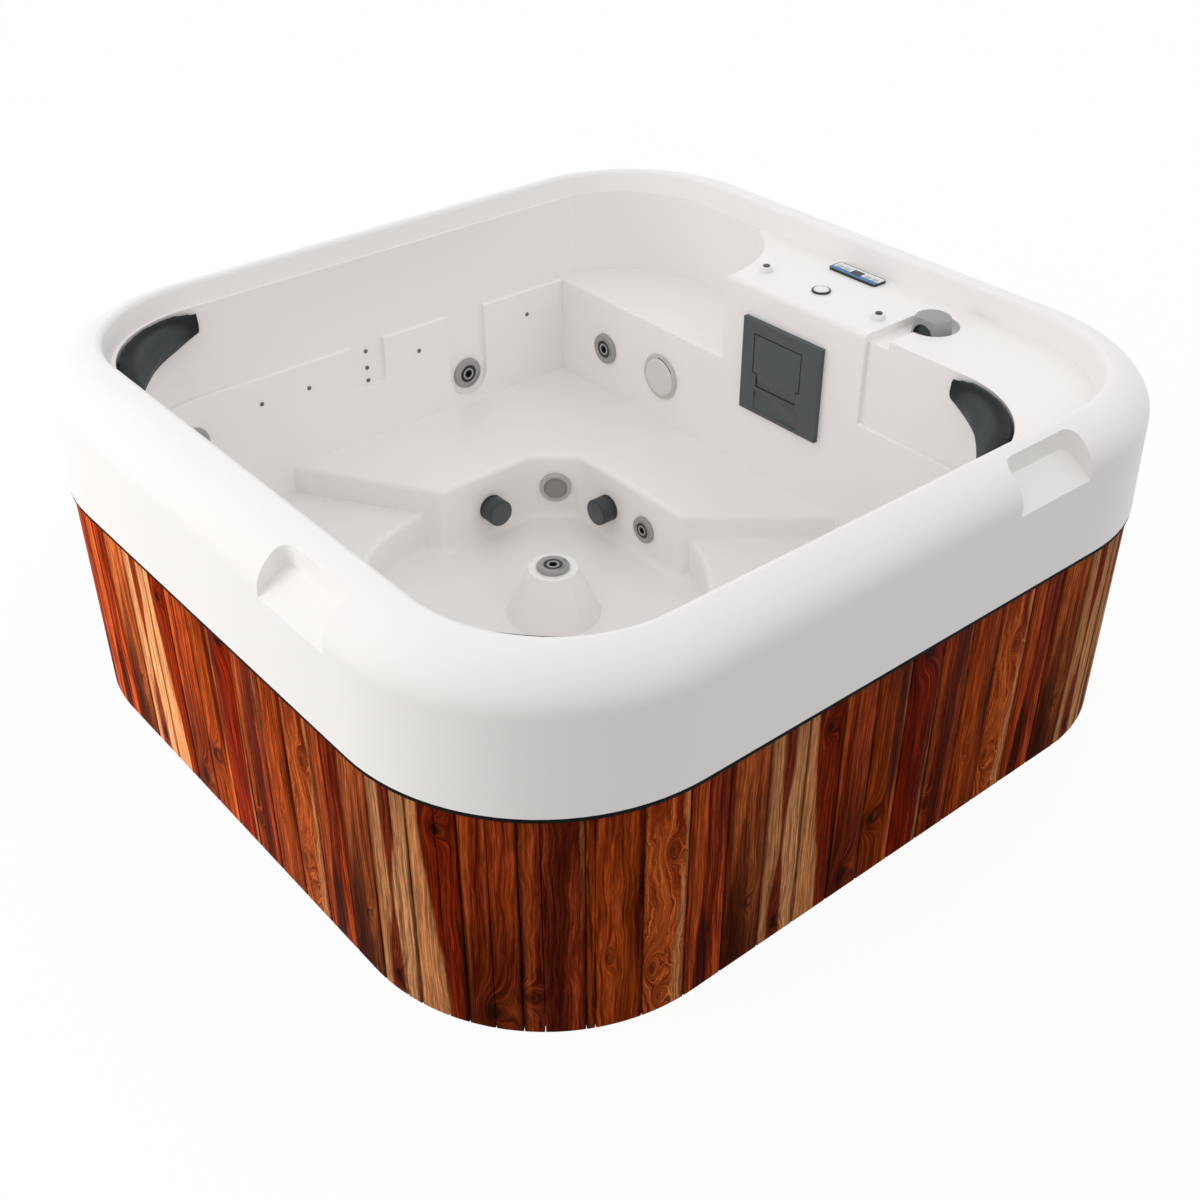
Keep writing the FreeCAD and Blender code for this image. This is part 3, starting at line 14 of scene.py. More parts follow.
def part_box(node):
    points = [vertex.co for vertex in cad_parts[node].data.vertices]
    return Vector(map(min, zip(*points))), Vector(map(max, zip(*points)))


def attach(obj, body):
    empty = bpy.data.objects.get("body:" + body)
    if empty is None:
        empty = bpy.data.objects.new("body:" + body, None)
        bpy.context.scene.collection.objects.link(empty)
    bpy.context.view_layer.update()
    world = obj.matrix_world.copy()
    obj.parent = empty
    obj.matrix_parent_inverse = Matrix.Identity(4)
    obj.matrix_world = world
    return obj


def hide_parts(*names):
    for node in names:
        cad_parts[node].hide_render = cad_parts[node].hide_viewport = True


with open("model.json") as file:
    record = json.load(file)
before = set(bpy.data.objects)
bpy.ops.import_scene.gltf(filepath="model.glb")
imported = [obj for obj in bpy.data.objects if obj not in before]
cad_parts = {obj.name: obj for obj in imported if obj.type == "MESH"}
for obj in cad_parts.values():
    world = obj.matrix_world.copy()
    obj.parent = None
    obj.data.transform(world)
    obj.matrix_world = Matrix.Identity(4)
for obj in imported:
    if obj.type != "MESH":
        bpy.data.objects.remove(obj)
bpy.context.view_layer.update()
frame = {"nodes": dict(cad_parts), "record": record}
nodes = frame["nodes"]

# %% [markdown]
# The camera stands where the photograph was taken from: half to the right of the front, looking down at
# about 35 degrees. Its lens and place were solved from the straight lines of the rim and the ground, so
# the picture's outline and the model's agree. A quaternion made from the viewing direction avoids
# guessing three angles.

# %% Camera
def shown(name, data):
    piece = bpy.data.objects.new(name, data)
    scene.collection.objects.link(piece)
    return piece


def aimed(piece, spot, aim):
    piece.location = spot
    piece.rotation_mode = "QUATERNION"
    piece.rotation_quaternion = (aim - spot).to_track_quat("-Z", "Y")


scene = bpy.context.scene
scene.view_settings.view_transform = "Standard"
lens_place = Vector((2.32075, -1.92511, 2.24787))
looks_at = Vector((0.01805, 0.0, 0.15504))
camera = shown("camera", bpy.data.cameras.new("camera"))
camera.data.sensor_width = 36.0
camera.data.lens = 45.892
camera.data.clip_end = 200.0
aimed(camera, lens_place, looks_at)
scene.camera = camera
print("camera is", round((looks_at - lens_place).length, 3), "m from the tub's foot")

# %% [markdown]
# Node trees are quicker to read when each node is one short call. These helpers add a node, join or set
# its inputs by name, and return the socket that the next call needs. Colours are given as 0 to 255 steps
# and turned into the linear light that shaders work in.

# %% Helpers for single nodes
def shade(red, green, blue):
    steps = [value / 255 for value in (red, green, blue)]
    return (*[((v + 0.055) / 1.055) ** 2.4 if v > 0.04 else v / 12.92 for v in steps], 1.0)


def feed(tree, value, socket):
    if isinstance(value, bpy.types.NodeSocket):
        tree.links.new(value, socket)
    else:
        socket.default_value = value


def place(tree, kind, inputs=None, **settings):
    node = tree.nodes.new(kind)
    for name, value in settings.items():
        setattr(node, name, value)
    for name, value in (inputs or {}).items():
        feed(tree, value, node.inputs[name])
    return node


def maths(tree, operation, first, second=0.0, third=0.0):
    node = place(tree, "ShaderNodeMath", operation=operation)
    for value, socket in zip((first, second, third), node.inputs):
        feed(tree, value, socket)
    return node.outputs[0]


def times(tree, first, second):
    return maths(tree, "MULTIPLY", first, second)


def minus(tree, first, second):
    return maths(tree, "SUBTRACT", first, second)


def swayed(tree, base, wave, amount):
    """The base value, pushed up or down by a noise whose middle is 0.5."""
    return maths(tree, "MULTIPLY_ADD", minus(tree, wave, 0.5), amount, base)


def spread(tree, value, low, high, to_low=0.0, to_high=1.0):
    node = place(tree, "ShaderNodeMapRange", interpolation_type="SMOOTHSTEP")
    for number, socket in zip((value, low, high, to_low, to_high), node.inputs):
        feed(tree, number, socket)
    return node.outputs[0]


def between(tree, share, start, end):
    """Goes smoothly from start to end while the share goes from 0 to 1."""
    return spread(tree, share, 0.0, 1.0, start, end)


print("single nodes ready")


# %% Helpers for colours and places
def mixed(tree, share, under, over):
    node = place(tree, "ShaderNodeMix", data_type="RGBA")
    for value, number in zip((share, under, over), (0, 6, 7)):
        feed(tree, value, node.inputs[number])
    return node.outputs[2]


def scaled(tree, colour, factor):
    node = place(tree, "ShaderNodeVectorMath", operation="SCALE")
    feed(tree, colour, node.inputs[0])
    feed(tree, factor, node.inputs["Scale"])
    return node.outputs[0]


def joined(tree, x, y, z):
    return place(tree, "ShaderNodeCombineXYZ", {"X": x, "Y": y, "Z": z}).outputs[0]


def parted(tree, vector):
    return place(tree, "ShaderNodeSeparateXYZ", {"Vector": vector}).outputs


def object_place(tree):
    return place(tree, "ShaderNodeTexCoord").outputs["Object"]


def attribute(tree, name):
    return place(tree, "ShaderNodeAttribute", attribute_name=name).outputs["Fac"]


def noise(tree, vector, scale, detail, roughness):
    return place(tree, "ShaderNodeTexNoise", {"Vector": vector, "Scale": scale, "Detail": detail,
                                              "Roughness": roughness}).outputs["Fac"]


print("colours and places ready")


# %% Helpers for groups and materials
def new_group(name, inputs, outputs):
    """A shader group whose sockets are plain numbers, apart from those called Colour."""
    tree = bpy.data.node_groups.new(name, "ShaderNodeTree")
    for way, titles in (("INPUT", inputs), ("OUTPUT", outputs)):
        for title in titles:
            kind = "NodeSocketColor" if title == "Colour" else "NodeSocketFloat"
            tree.interface.new_socket(title, in_out=way, socket_type=kind)
    return tree, tree.nodes.new("NodeGroupInput").outputs, tree.nodes.new("NodeGroupOutput").inputs


def use_group(tree, group, values):
    return place(tree, "ShaderNodeGroup", values, node_tree=group).outputs


def bare_material(name, **settings):
    material = bpy.data.materials.new(name)
    material.use_nodes = True
    shader = material.node_tree.nodes["Principled BSDF"]
    for title, value in settings.items():
        shader.inputs[title.replace("_", " ")].default_value = value
    return material, material.node_tree, shader


def painted(tree, shader, colour, roughness):
    feed(tree, colour, shader.inputs["Base Color"])
    feed(tree, roughness, shader.inputs["Roughness"])


def bumped(tree, shader, height, strength, distance):
    bump = place(tree, "ShaderNodeBump", {"Height": height, "Strength": strength, "Distance": distance})
    feed(tree, bump.outputs["Normal"], shader.inputs["Normal"])


print("groups and materials ready")

# %% [markdown]
# The studio is a pale floor without edges, a soft sky and one wide lamp. The sky is a ring of light: dim
# at the horizon, brightest a third of the way up and about half as bright overhead. The walls of the
# basin face the ring, so they come out nearly as bright as the seats. The key stands low before the
# front: it makes the front of the rim bright and leaves its right side dimmer, and gloss doesn't show it,
# so no hot spot sits on the rim. Sky and floor are white only for rays that see them straight, off gloss
# or through glass, so a white background puts no more light on the tub, and the floor takes its shadow.

# %% Sky
white = (1.0, 1.0, 1.0, 1.0)


def seen_straight(tree):
    seen = place(tree, "ShaderNodeLightPath").outputs
    direct = maths(tree, "MAXIMUM", seen["Is Camera Ray"], seen["Is Glossy Ray"])
    return maths(tree, "MAXIMUM", direct, seen["Is Transmission Ray"])


world = bpy.data.worlds.new("studio")
scene.world = world
world.use_nodes = True
sky = world.node_tree
upward = parted(sky, place(sky, "ShaderNodeTexCoord").outputs["Generated"])["Z"]
horizon_light, ring_light, zenith_light = 0.04, 1.26, 0.67
ring_height = 0.55
soft_sky = maths(sky, "MINIMUM", spread(sky, upward, 0.0, ring_height, horizon_light, ring_light),
                 spread(sky, upward, ring_height, 1.0, ring_light, zenith_light))
feed(sky, maths(sky, "MAXIMUM", soft_sky, seen_straight(sky)), sky.nodes["Background"].inputs["Strength"])
sky.nodes["Background"].inputs["Color"].default_value = white
print("sky ready")


# %% Floor
def meshed(name, shape):
    mesh = bpy.data.meshes.new(name)
    shape.to_mesh(mesh)
    shape.free()
    return mesh


floor_half, floor_glow, glow_share = 60.0, 1.17, 0.80
floor_shape = bmesh.new()
bmesh.ops.create_grid(floor_shape, x_segments=1, y_segments=1, size=floor_half)
floor = shown("floor", meshed("floor", floor_shape))
floor_paint, tree, shader = bare_material("pale floor", Base_Color=shade(158, 157, 155), Roughness=0.9,
                                          Specular_IOR_Level=0.0)
glow = place(tree, "ShaderNodeEmission", {"Color": white, "Strength": floor_glow})
floor_mix = place(tree, "ShaderNodeMixShader")
feed(tree, times(tree, seen_straight(tree), glow_share), floor_mix.inputs[0])
feed(tree, shader.outputs[0], floor_mix.inputs[1])
feed(tree, glow.outputs[0], floor_mix.inputs[2])
feed(tree, floor_mix.outputs[0], tree.nodes["Material Output"].inputs["Surface"])
floor.data.materials.append(floor_paint)
print("floor reaches", floor_half, "m each way")

# %% Key lamp
key_spot = Vector((-1.6, -4.3, 0.75))
key_aim = Vector((-0.1, -0.9, 0.5))
lamp = bpy.data.lights.new("key", "AREA")
lamp.shape = "DISK"
lamp.size = 2.4
lamp.energy = 80.0
key = shown("key", lamp)
key.visible_glossy = False
aimed(key, key_spot, key_aim)
print("lamp ready")

# %% [markdown]
# Nearly every fitting of a tub is moulded plastic, and moulded plastic is never one flat colour: its tone
# drifts a little, its gloss varies, and the surface has a fine dimple like orange peel. That is one
# effect with different strengths, so it is one node group. It reads Object coordinates, which stay with
# the piece.

# %% Moulded skin group
skin, given, out = new_group(
    "moulded skin", ["Colour", "Drift", "Drift scale", "Gloss low", "Gloss high", "Peel scale"],
    ["Colour", "Roughness", "Height"])
where = object_place(skin)
broad = noise(skin, where, given["Drift scale"], 4.0, 0.55)
fine = noise(skin, where, given["Peel scale"], 1.0, 0.4)
feed(skin, scaled(skin, given["Colour"], swayed(skin, 1.0, broad, given["Drift"])), out["Colour"])
feed(skin, spread(skin, broad, 0.3, 0.7, given["Gloss low"], given["Gloss high"]), out["Roughness"])
feed(skin, fine, out["Height"])
peel_strength = 0.6


def moulded(name, colour, gloss, drift, drift_scale=7.0, peel=(900.0, 0.00004), **settings):
    """Gloss is the lowest and highest roughness, and peel the dimple's scale and depth in metres."""
    material, tree, shader = bare_material(name, **settings)
    made = use_group(tree, skin, {"Colour": colour, "Drift": drift, "Drift scale": drift_scale,
                                  "Gloss low": gloss[0], "Gloss high": gloss[1], "Peel scale": peel[0]})
    painted(tree, shader, made["Colour"], made["Roughness"])
    bumped(tree, shader, made["Height"], peel_strength, peel[1])
    return material


def coat(material, *names):
    for name in names:
        slots = nodes[name].data.materials
        slots.clear()
        slots.append(material)


print("moulded skin ready")

# %% [markdown]
# The shell is one sheet of acrylic, drawn into a mould and backed with resin: warm off-white, with a soft
# satin gloss and the faintest waviness. Its form is right in the solid, so the node stays and only takes
# the finish.

# %% Shell
acrylic = moulded("satin acrylic", shade(246, 243, 241), (0.30, 0.40), 0.015, 3.0, (260.0, 0.00003))
coat(acrylic, "shell")
print("shell coated")

# %% [markdown]
# The skirt is the tub's showpiece: upright boards of a richly figured red-brown wood, with pale sapwood,
# knots and burls. A picture of wood would be quick, but it would smear round the corners. Here the grain
# is built from a field: the distance across the skirt, bent by every knot. Lines that follow the field's
# levels run straight along a clear board and close into rings round a knot, as growth rings do.

# %% Knot group
knot, given, out = new_group(
    "wood knot", ["Across", "Height", "Knot across", "Knot height", "Size", "Stretch", "Jitter"],
    ["Swell", "Halo", "Eye"])
tear, swell_fall = 2.4, -0.22
halo_from, halo_to = 0.6, 5.0
eye_from, eye_to = 0.10, 1.1
aside = maths(knot, "DIVIDE", minus(knot, given["Across"], given["Knot across"]), given["Size"])
tall = times(knot, given["Size"], given["Stretch"])
above = maths(knot, "DIVIDE", minus(knot, given["Height"], given["Knot height"]), tall)
reach = maths(knot, "ADD", times(knot, aside, aside), times(knot, above, above))
torn = times(knot, reach, swayed(knot, 1.0, given["Jitter"], tear))
feed(knot, maths(knot, "EXPONENT", times(knot, reach, swell_fall)), out["Swell"])
feed(knot, spread(knot, torn, halo_from, halo_to, 1.0, 0.0), out["Halo"])
feed(knot, spread(knot, torn, eye_from, eye_to, 1.0, 0.0), out["Eye"])
print("knot group ready")

# %% Streak group
streak_shape = ["Top", "Bottom", "Top half", "Bottom half", "Pinch", "Ragged"]
streak, given, out = new_group("wood streak", ["Across", "Height", "Seed"] + streak_shape, ["Mask"])
pinch_height, pinch_reach, wander_stretch = 0.5, 0.22, 0.6
soft_from, soft_to = -0.03, 0.06
centre = between(streak, given["Height"], given["Bottom"], given["Top"])
half = between(streak, given["Height"], given["Bottom half"], given["Top half"])
from_pinch = maths(streak, "DIVIDE", minus(streak, given["Height"], pinch_height), pinch_reach)
pinched = maths(streak, "EXPONENT", times(streak, times(streak, from_pinch, from_pinch), -1.0))
half = times(streak, half, minus(streak, 1.0, times(streak, pinched, given["Pinch"])))
along = joined(streak, times(streak, given["Across"], wander_stretch), given["Height"], given["Seed"])
wander = times(streak, minus(streak, noise(streak, along, 4.0, 5.0, 0.6), 0.5), given["Ragged"])
off = maths(streak, "ABSOLUTE", maths(streak, "ADD", minus(streak, given["Across"], centre), wander))
feed(streak, spread(streak, minus(streak, half, off), soft_from, soft_to), out["Mask"])
print("streak group ready")

# %% [markdown]
# Grain shows at several scales at once: broad soft bands where the tree grew fast or slow, the thin lines
# of the growth rings, a few dark veins, and the fibre that only shows close by. Each is a noise that is
# stretched along the board, and all read the bent field, so all of them swing round the knots together.

# %% Grain group
grain, given, out = new_group("wood grain", ["Field", "Height", "Seed"], ["Bands", "Lines", "Veins", "Fibre"])
grain_roughness = 0.68
for title, across, along, detail, low, high in (
        ("Bands", 38.0, 2.0, 4.0, 0.30, 0.70), ("Lines", 230.0, 5.0, 6.0, 0.28, 0.70),
        ("Veins", 90.0, 2.4, 3.0, 0.58, 0.72), ("Fibre", 480.0, 22.0, 3.0, 0.34, 0.66)):
    spot = joined(grain, times(grain, given["Field"], across), times(grain, given["Height"], along),
                  given["Seed"])
    feed(grain, spread(grain, noise(grain, spot, 1.0, detail, grain_roughness), low, high), out[title])
print("grain group ready")

# %% [markdown]
# Ten kinds of board repeat round the skirt. Each kind is one material: a dark, a middle and a bright tone
# of heartwood, pale or dark streaks that run the length of the board, and its own knots. A burl board
# also swirls: a coarse noise pushes its grain about. The tables hold only given choices: where a
# streak starts and ends across the board, and how high a knot sits.

# %% Board field
board_width, board_height = 0.0945, 0.5275
slow_wave = 0.03


def board_field(tree, across, height, seed, knots, swirl):
    """The way across a board in metres, bent by a slow wave, a burl's swirl and each knot."""
    metres = times(tree, across, board_width)
    wave_place = joined(tree, times(tree, across, 0.5), times(tree, height, 3.0), seed)
    curl_place = joined(tree, times(tree, metres, 26.0), times(tree, height, 13.0), seed)
    field = swayed(tree, metres, noise(tree, wave_place, 1.3, 3.0, 0.5), slow_wave)
    curl = noise(tree, curl_place, 1.0, 4.0, 0.55)
    if swirl:
        field = swayed(tree, field, curl, swirl)
    marks = []
    for spot, knot_height, size, stretch, pull, dark in knots:
        found = use_group(tree, knot, {"Across": metres, "Height": height, "Knot across": spot * board_width,
                                       "Knot height": knot_height, "Size": size, "Stretch": stretch,
                                       "Jitter": curl})
        field = maths(tree, "MULTIPLY_ADD", found["Swell"], pull, field)
        marks.append((found["Halo"], found["Eye"], dark))
    return field, marks


print("board field ready")

# %% Board material
knot_eye, knot_halo = shade(30, 9, 4), shade(84, 24, 8)
oil_warmth = (1.07, 0.95, 0.83)
line_shades, vein_shades, fibre_shades = (0.52, 1.36), (1.0, 0.34), (0.70, 1.18)
line_gloss = (0.68, 0.56)
edge_from, edge_to, edge_shade = 0.42, 0.5, 0.38
bright_share, halo_share, streak_seed = 0.8, 0.55, 3.7
kinds = {}


def board(kind, low_tone, middle_tone, high_tone, streaks=(), knots=(), foot=1.0, swirl=0.0):
    """Makes the material of one kind of board and keeps it under its number."""
    material, tree, shader = bare_material("board %d" % kind, Specular_IOR_Level=0.015)
    uv = parted(tree, place(tree, "ShaderNodeUVMap", uv_map="board").outputs[0])
    across, height = uv["X"], uv["Y"]
    seed, painted_light_and_shade = attribute(tree, "board_seed"), attribute(tree, "board_tone")
    rise = maths(tree, "DIVIDE", height, board_height)
    field, marks = board_field(tree, across, height, seed, knots, swirl)
    wood = use_group(tree, grain, {"Field": field, "Height": height, "Seed": seed})
    colour = mixed(tree, wood["Bands"], low_tone, middle_tone)
    fast_growth = times(tree, wood["Bands"], wood["Lines"])
    colour = mixed(tree, times(tree, fast_growth, bright_share), colour, high_tone)
    for number, (tint, *numbers, strength) in enumerate(streaks):
        values = dict(zip(streak_shape, numbers), Across=across, Height=rise)
        values["Seed"] = maths(tree, "ADD", seed, number * streak_seed)
        mask = use_group(tree, streak, values)["Mask"]
        colour = mixed(tree, times(tree, mask, strength), colour, tint)
    for halo, eye, dark in marks:
        colour = mixed(tree, times(tree, halo, halo_share * dark), colour, knot_halo)
    lines = between(tree, wood["Lines"], *line_shades)
    veins = between(tree, wood["Veins"], *vein_shades)
    fibre = between(tree, wood["Fibre"], *fibre_shades)
    # Darker towards the foot on some kinds, times the board's painted light and shade.
    light = times(tree, between(tree, rise, foot, 1.0), painted_light_and_shade)
    # Painted shade: each board is painted darker towards its two long edges, where the grooves lie.
    from_middle = maths(tree, "ABSOLUTE", minus(tree, across, 0.5))
    edge = spread(tree, from_middle, edge_from, edge_to, 1.0, edge_shade)
    shading = times(tree, times(tree, lines, fibre), times(tree, light, edge))
    oiled = place(tree, "ShaderNodeVectorMath", operation="MULTIPLY")
    feed(tree, colour, oiled.inputs[0])
    feed(tree, oil_warmth, oiled.inputs[1])
    colour = scaled(tree, oiled.outputs[0], times(tree, shading, veins))
    for halo, eye, dark in marks:
        colour = mixed(tree, times(tree, eye, dark), colour, knot_eye)
    painted(tree, shader, colour, between(tree, wood["Lines"], *line_gloss))
    bumped(tree, shader, maths(tree, "ADD", wood["Lines"], wood["Fibre"]), 0.4, 0.0003)
    kinds[kind] = material


print("board material ready")

# %% Board kinds
pale = shade(236, 164, 110)
tan = shade(218, 106, 48)
amber = shade(172, 80, 26)
heart = shade(132, 40, 8)
deep = shade(62, 15, 3)
board(1, shade(188, 118, 72), pale, shade(244, 192, 146),
      [(heart, 0.52, 0.42, 0.18, 0.20, 0.75, 0.10, 0.95)], [(0.42, 0.045, 0.010, 2.4, 0.02, 0.9)])
board(2, shade(84, 20, 4), shade(146, 42, 10), shade(190, 72, 22),
      [(pale, 0.0, 0.05, 0.24, 0.60, 0.0, 0.16, 0.95)], [(0.60, 0.470, 0.009, 1.5, 0.035, 0.9)])
board(3, shade(108, 28, 6), shade(182, 66, 24), shade(222, 110, 56),
      [(tan, 0.10, 0.08, 0.10, 0.03, 0.0, 0.06, 0.7), (tan, 0.46, 0.42, 0.07, 0.0, 0.0, 0.05, 0.6),
       (tan, 0.93, 0.96, 0.04, 0.02, 0.0, 0.03, 0.7)],
      [(0.45, 0.045, 0.015, 1.8, 0.045, 0.85)], foot=0.42)
board(4, shade(70, 20, 3), shade(150, 58, 14), shade(196, 90, 28),
      [(pale, 0.97, 1.02, 0.04, 0.0, 0.0, 0.03, 0.8), (tan, 1.08, 0.90, 0.0, 0.10, 0.0, 0.05, 0.8),
       (deep, 0.72, 0.80, 0.07, 0.02, 0.0, 0.10, 0.7)],
      [(0.27, 0.155, 0.013, 1.7, 0.045, 0.85)])
board(5, shade(64, 10, 1), shade(138, 32, 5), shade(176, 56, 15),
      [(pale, 1.02, 0.91, 0.02, 0.05, 0.0, 0.04, 0.95)], [(0.50, 0.515, 0.020, 1.3, 0.04, 0.9)])
board(6, shade(78, 20, 8), shade(158, 58, 26), shade(216, 104, 56),
      [(tan, 0.16, 0.10, 0.10, 0.05, 0.0, 0.08, 0.6),
       (shade(80, 24, 14), 0.62, 0.52, 0.22, 0.16, 0.0, 0.30, 0.65),
       (pale, 0.99, 1.06, 0.05, 0.0, 0.0, 0.03, 0.8)],
      [(0.14, 0.095, 0.008, 1.6, 0.05, 0.6)], swirl=0.012)
board(7, shade(104, 34, 8), shade(176, 70, 24), shade(222, 108, 46),
      [(deep, 0.50, 0.30, 0.020, 0.012, 0.0, 0.16, 0.85),
       (amber, 0.75, 0.62, 0.0, 0.28, 0.0, 0.10, 0.45),
       (deep, 0.95, 0.98, 0.05, 0.02, 0.0, 0.10, 0.6)],
      [(0.38, 0.185, 0.004, 3.2, 0.02, 0.5)], swirl=0.008)
board(8, shade(128, 34, 8), shade(228, 92, 30), shade(255, 158, 84),
      [(pale, 0.96, 1.04, 0.06, 0.0, 0.0, 0.05, 0.95), (pale, 0.96, 0.80, 0.0, 0.18, 0.0, 0.12, 0.7)],
      [(0.62, 0.395, 0.008, 2.0, 0.055, 0.45), (0.20, 0.120, 0.008, 2.4, 0.06, 0.5),
       (0.40, 0.040, 0.007, 1.8, 0.045, 0.5)], swirl=0.042)
board(9, shade(104, 26, 7), shade(182, 62, 22), shade(228, 108, 54),
      [(tan, 0.26, 0.22, 0.17, 0.04, 0.0, 0.10, 0.75),
       (deep, 0.52, 0.42, 0.05, 0.22, 0.75, 0.16, 0.85)])
board(10, shade(142, 56, 20), shade(196, 96, 44), shade(230, 138, 80),
      [(shade(98, 32, 8), 0.45, 0.35, 0.0, 0.34, 0.0, 0.25, 0.7)],
      [(0.60, 0.150, 0.006, 2.2, 0.02, 0.5)], foot=0.40)
print("board kinds:", len(kinds))

# %% [markdown]
# Each board has to know which kind it is and where on the kind's figure a point lies. Both follow from
# the way along the skirt: a running distance that starts at the left corner and goes round past the
# front. A merged copy of every skirt node gets a UV map with the place across the board and the height,
# and each face takes the kind of its board. The near corner's boards are sawn in two, so a pair shares
# one figure.

# %% Way round the skirt
half_x, half_y, turn = 0.944, 0.9755, 0.4275
corner_x, corner_y = half_x - turn, half_y - turn
arc = turn * math.pi / 2
runs = [arc, 2 * corner_x, arc, 2 * corner_y, arc, 2 * corner_x, arc, 2 * corner_y]
whole_way = sum(runs)


def way_round(x, y):
    """Distance along the skirt in metres, from the left corner's first end."""
    if abs(x) > corner_x and abs(y) > corner_y:
        angle = math.atan2(y + math.copysign(corner_y, -y), x + math.copysign(corner_x, -x)) % math.tau
        number = {(False, False): 0, (True, False): 2, (True, True): 4, (False, True): 6}[(x > 0, y > 0)]
        return sum(runs[:number]) + turn * ((angle - math.pi - number * math.pi / 4) % math.tau)
    if abs(x) <= corner_x:
        return sum(runs[:1]) + x + corner_x if y < 0 else sum(runs[:5]) + corner_x - x
    return sum(runs[:3]) + y + corner_y if x > 0 else sum(runs[:7]) + corner_y - y


print("skirt is", round(whole_way, 3), "m round")

# %% Figures and painted light along the way
figure_starts = [0.625, 0.720, 0.815, 0.910, 1.005, 1.095, 1.187, 1.273, 1.362, 1.457, 1.551, 1.645, 1.741,
                 1.836, 1.937, 2.040, 2.154, 2.260, 2.352, 2.445, 2.544, 2.640, 2.736, 2.824, 2.917, 3.008,
                 3.097, 3.192, 3.288, 3.382, 3.480, 3.575]
# Painted light and shade: front boards brighter, boards past the near corner darker, eased in between.
painted_shade_start, painted_shade_end = 1.15, 1.55
painted_front_light, painted_side_shade = 1.28, 0.64


def in_turn(first, number):
    return (first - 1 + number) % len(kinds) + 1


figure_kinds = [in_turn(9, number) for number in range(15)] + [in_turn(6, number) for number in range(16)]


def figure_at(middle, start, end):
    """Where the figure at a board's middle starts and ends, and its kind. Unlisted boards go in turn."""
    for first, last, kind in zip(figure_starts, figure_starts[1:], figure_kinds):
        if first < middle < last:
            return first, last, kind
    return start, end, in_turn(figure_kinds[0], round((middle - figure_starts[0]) / board_width))


def board_tone(way):
    """Painted light and shade: the front's boards are painted brighter, those past the near corner darker."""
    past = min(max((way - painted_shade_start) / (painted_shade_end - painted_shade_start), 0.0), 1.0)
    return painted_front_light + (painted_side_shade - painted_front_light) * past * past * (3 - 2 * past)


print("figures:", len(figure_kinds))


# %% Merged copies
weld = 0.00002


def merged(name):
    shape = bmesh.new()
    shape.from_mesh(nodes[name].data)
    bmesh.ops.remove_doubles(shape, verts=shape.verts, dist=weld)
    return shape


def smooth_copy(name, angle=40.0):
    """A merged copy of a node, smooth except at real edges."""
    mesh = meshed(name + "_look", merged(name))
    mesh.materials.clear()
    mesh.shade_smooth()
    mesh.set_sharp_from_angle(angle=math.radians(angle))
    return shown(name + "_look", mesh)


def islands_of(shape):
    left = set(shape.faces)
    while left:
        found = [left.pop()]
        for face in found:
            for edge in face.edges:
                for other in edge.link_faces:
                    if other in left:
                        left.remove(other)
                        found.append(other)
        yield found


print("copy helpers ready")

# %% Skirt
seed_step, seed_rate, seed_sway = 5.3, 7.0, 0.12
count = 0
for name in sorted(n for n in nodes if n.startswith("skirt_")):
    look = smooth_copy(name, 30.0)
    for number in sorted(kinds):
        look.data.materials.append(kinds[number])
    shape = bmesh.new()
    shape.from_mesh(look.data)
    uv = shape.loops.layers.uv.new("board")
    seed = shape.faces.layers.float.new("board_seed")
    painted_light_and_shade = shape.faces.layers.float.new("board_tone")
    for faces in islands_of(shape):
        corners = {corner for face in faces for corner in face.verts}
        ways = [way_round(corner.co.x, corner.co.y) for corner in corners]
        if max(ways) - min(ways) > whole_way / 2:
            ways = [way - whole_way if way > whole_way / 2 else way for way in ways]
        middle = (min(ways) + max(ways)) / 2
        start, end, kind = figure_at(middle, min(ways), max(ways))
        count += 1
        for face in faces:
            face.material_index = kind - 1
            face[seed] = kind * seed_step + math.sin(middle * seed_rate) * seed_sway
            # Each board keeps the painted light and shade of its place round the skirt.
            face[painted_light_and_shade] = board_tone(middle)
            for loop in face.loops:
                way = way_round(loop.vert.co.x, loop.vert.co.y)
                way -= whole_way * round((way - middle) / whole_way)
                loop[uv].uv = ((way - start) / (end - start), loop.vert.co.z)
    shape.to_mesh(look.data)
    shape.free()
    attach(look, "tub")
    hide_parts(name)
print("boards:", count)

# %% [markdown]
# A black rubber strip closes the joint between the rim and the boards, and shows as a line below the rim.
# It is matt, and a little dust makes its tone uneven. The strip swells out to the rim's outline, and its
# lip is drawn a few millimetres down over the boards as painted shadow: black where the shadow under the
# rim falls. So the outer loops of a merged copy are moved by those few millimetres.

# %% Rim seal
hair = 0.0002
lip_margin, painted_shadow_drop = 0.0006, 0.003
rubber = moulded("matt rubber", shade(9, 9, 9), (0.7, 0.85), 0.35, 25.0, (1500.0, 0.00005),
                 Specular_IOR_Level=0.12)
seal = smooth_copy("rim_seal")
seal_low, seal_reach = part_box("rim_seal")
seal_middle = (seal_low.z + seal_reach.z) / 2
rim_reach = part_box("shell")[1]
outer_turn = seal_reach.x - corner_x
lip_turn = rim_reach.x - corner_x - lip_margin
for corner in seal.data.vertices:
    ahead = Vector((max(abs(corner.co.x) - corner_x, 0.0), max(abs(corner.co.y) - corner_y, 0.0)))
    if ahead.length > outer_turn - hair:
        step = ahead * (lip_turn / ahead.length - 1.0)
        corner.co.x += math.copysign(step.x, corner.co.x)
        corner.co.y += math.copysign(step.y, corner.co.y)
        # Painted shadow: the lip's lower edge drops over the boards, black where the rim's shadow falls.
        if corner.co.z < seal_middle:
            corner.co.z -= painted_shadow_drop
seal.data.materials.append(rubber)
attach(seal, "tub")
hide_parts("rim_seal")
print("seal reaches", [round(value, 4) for value in rim_reach])

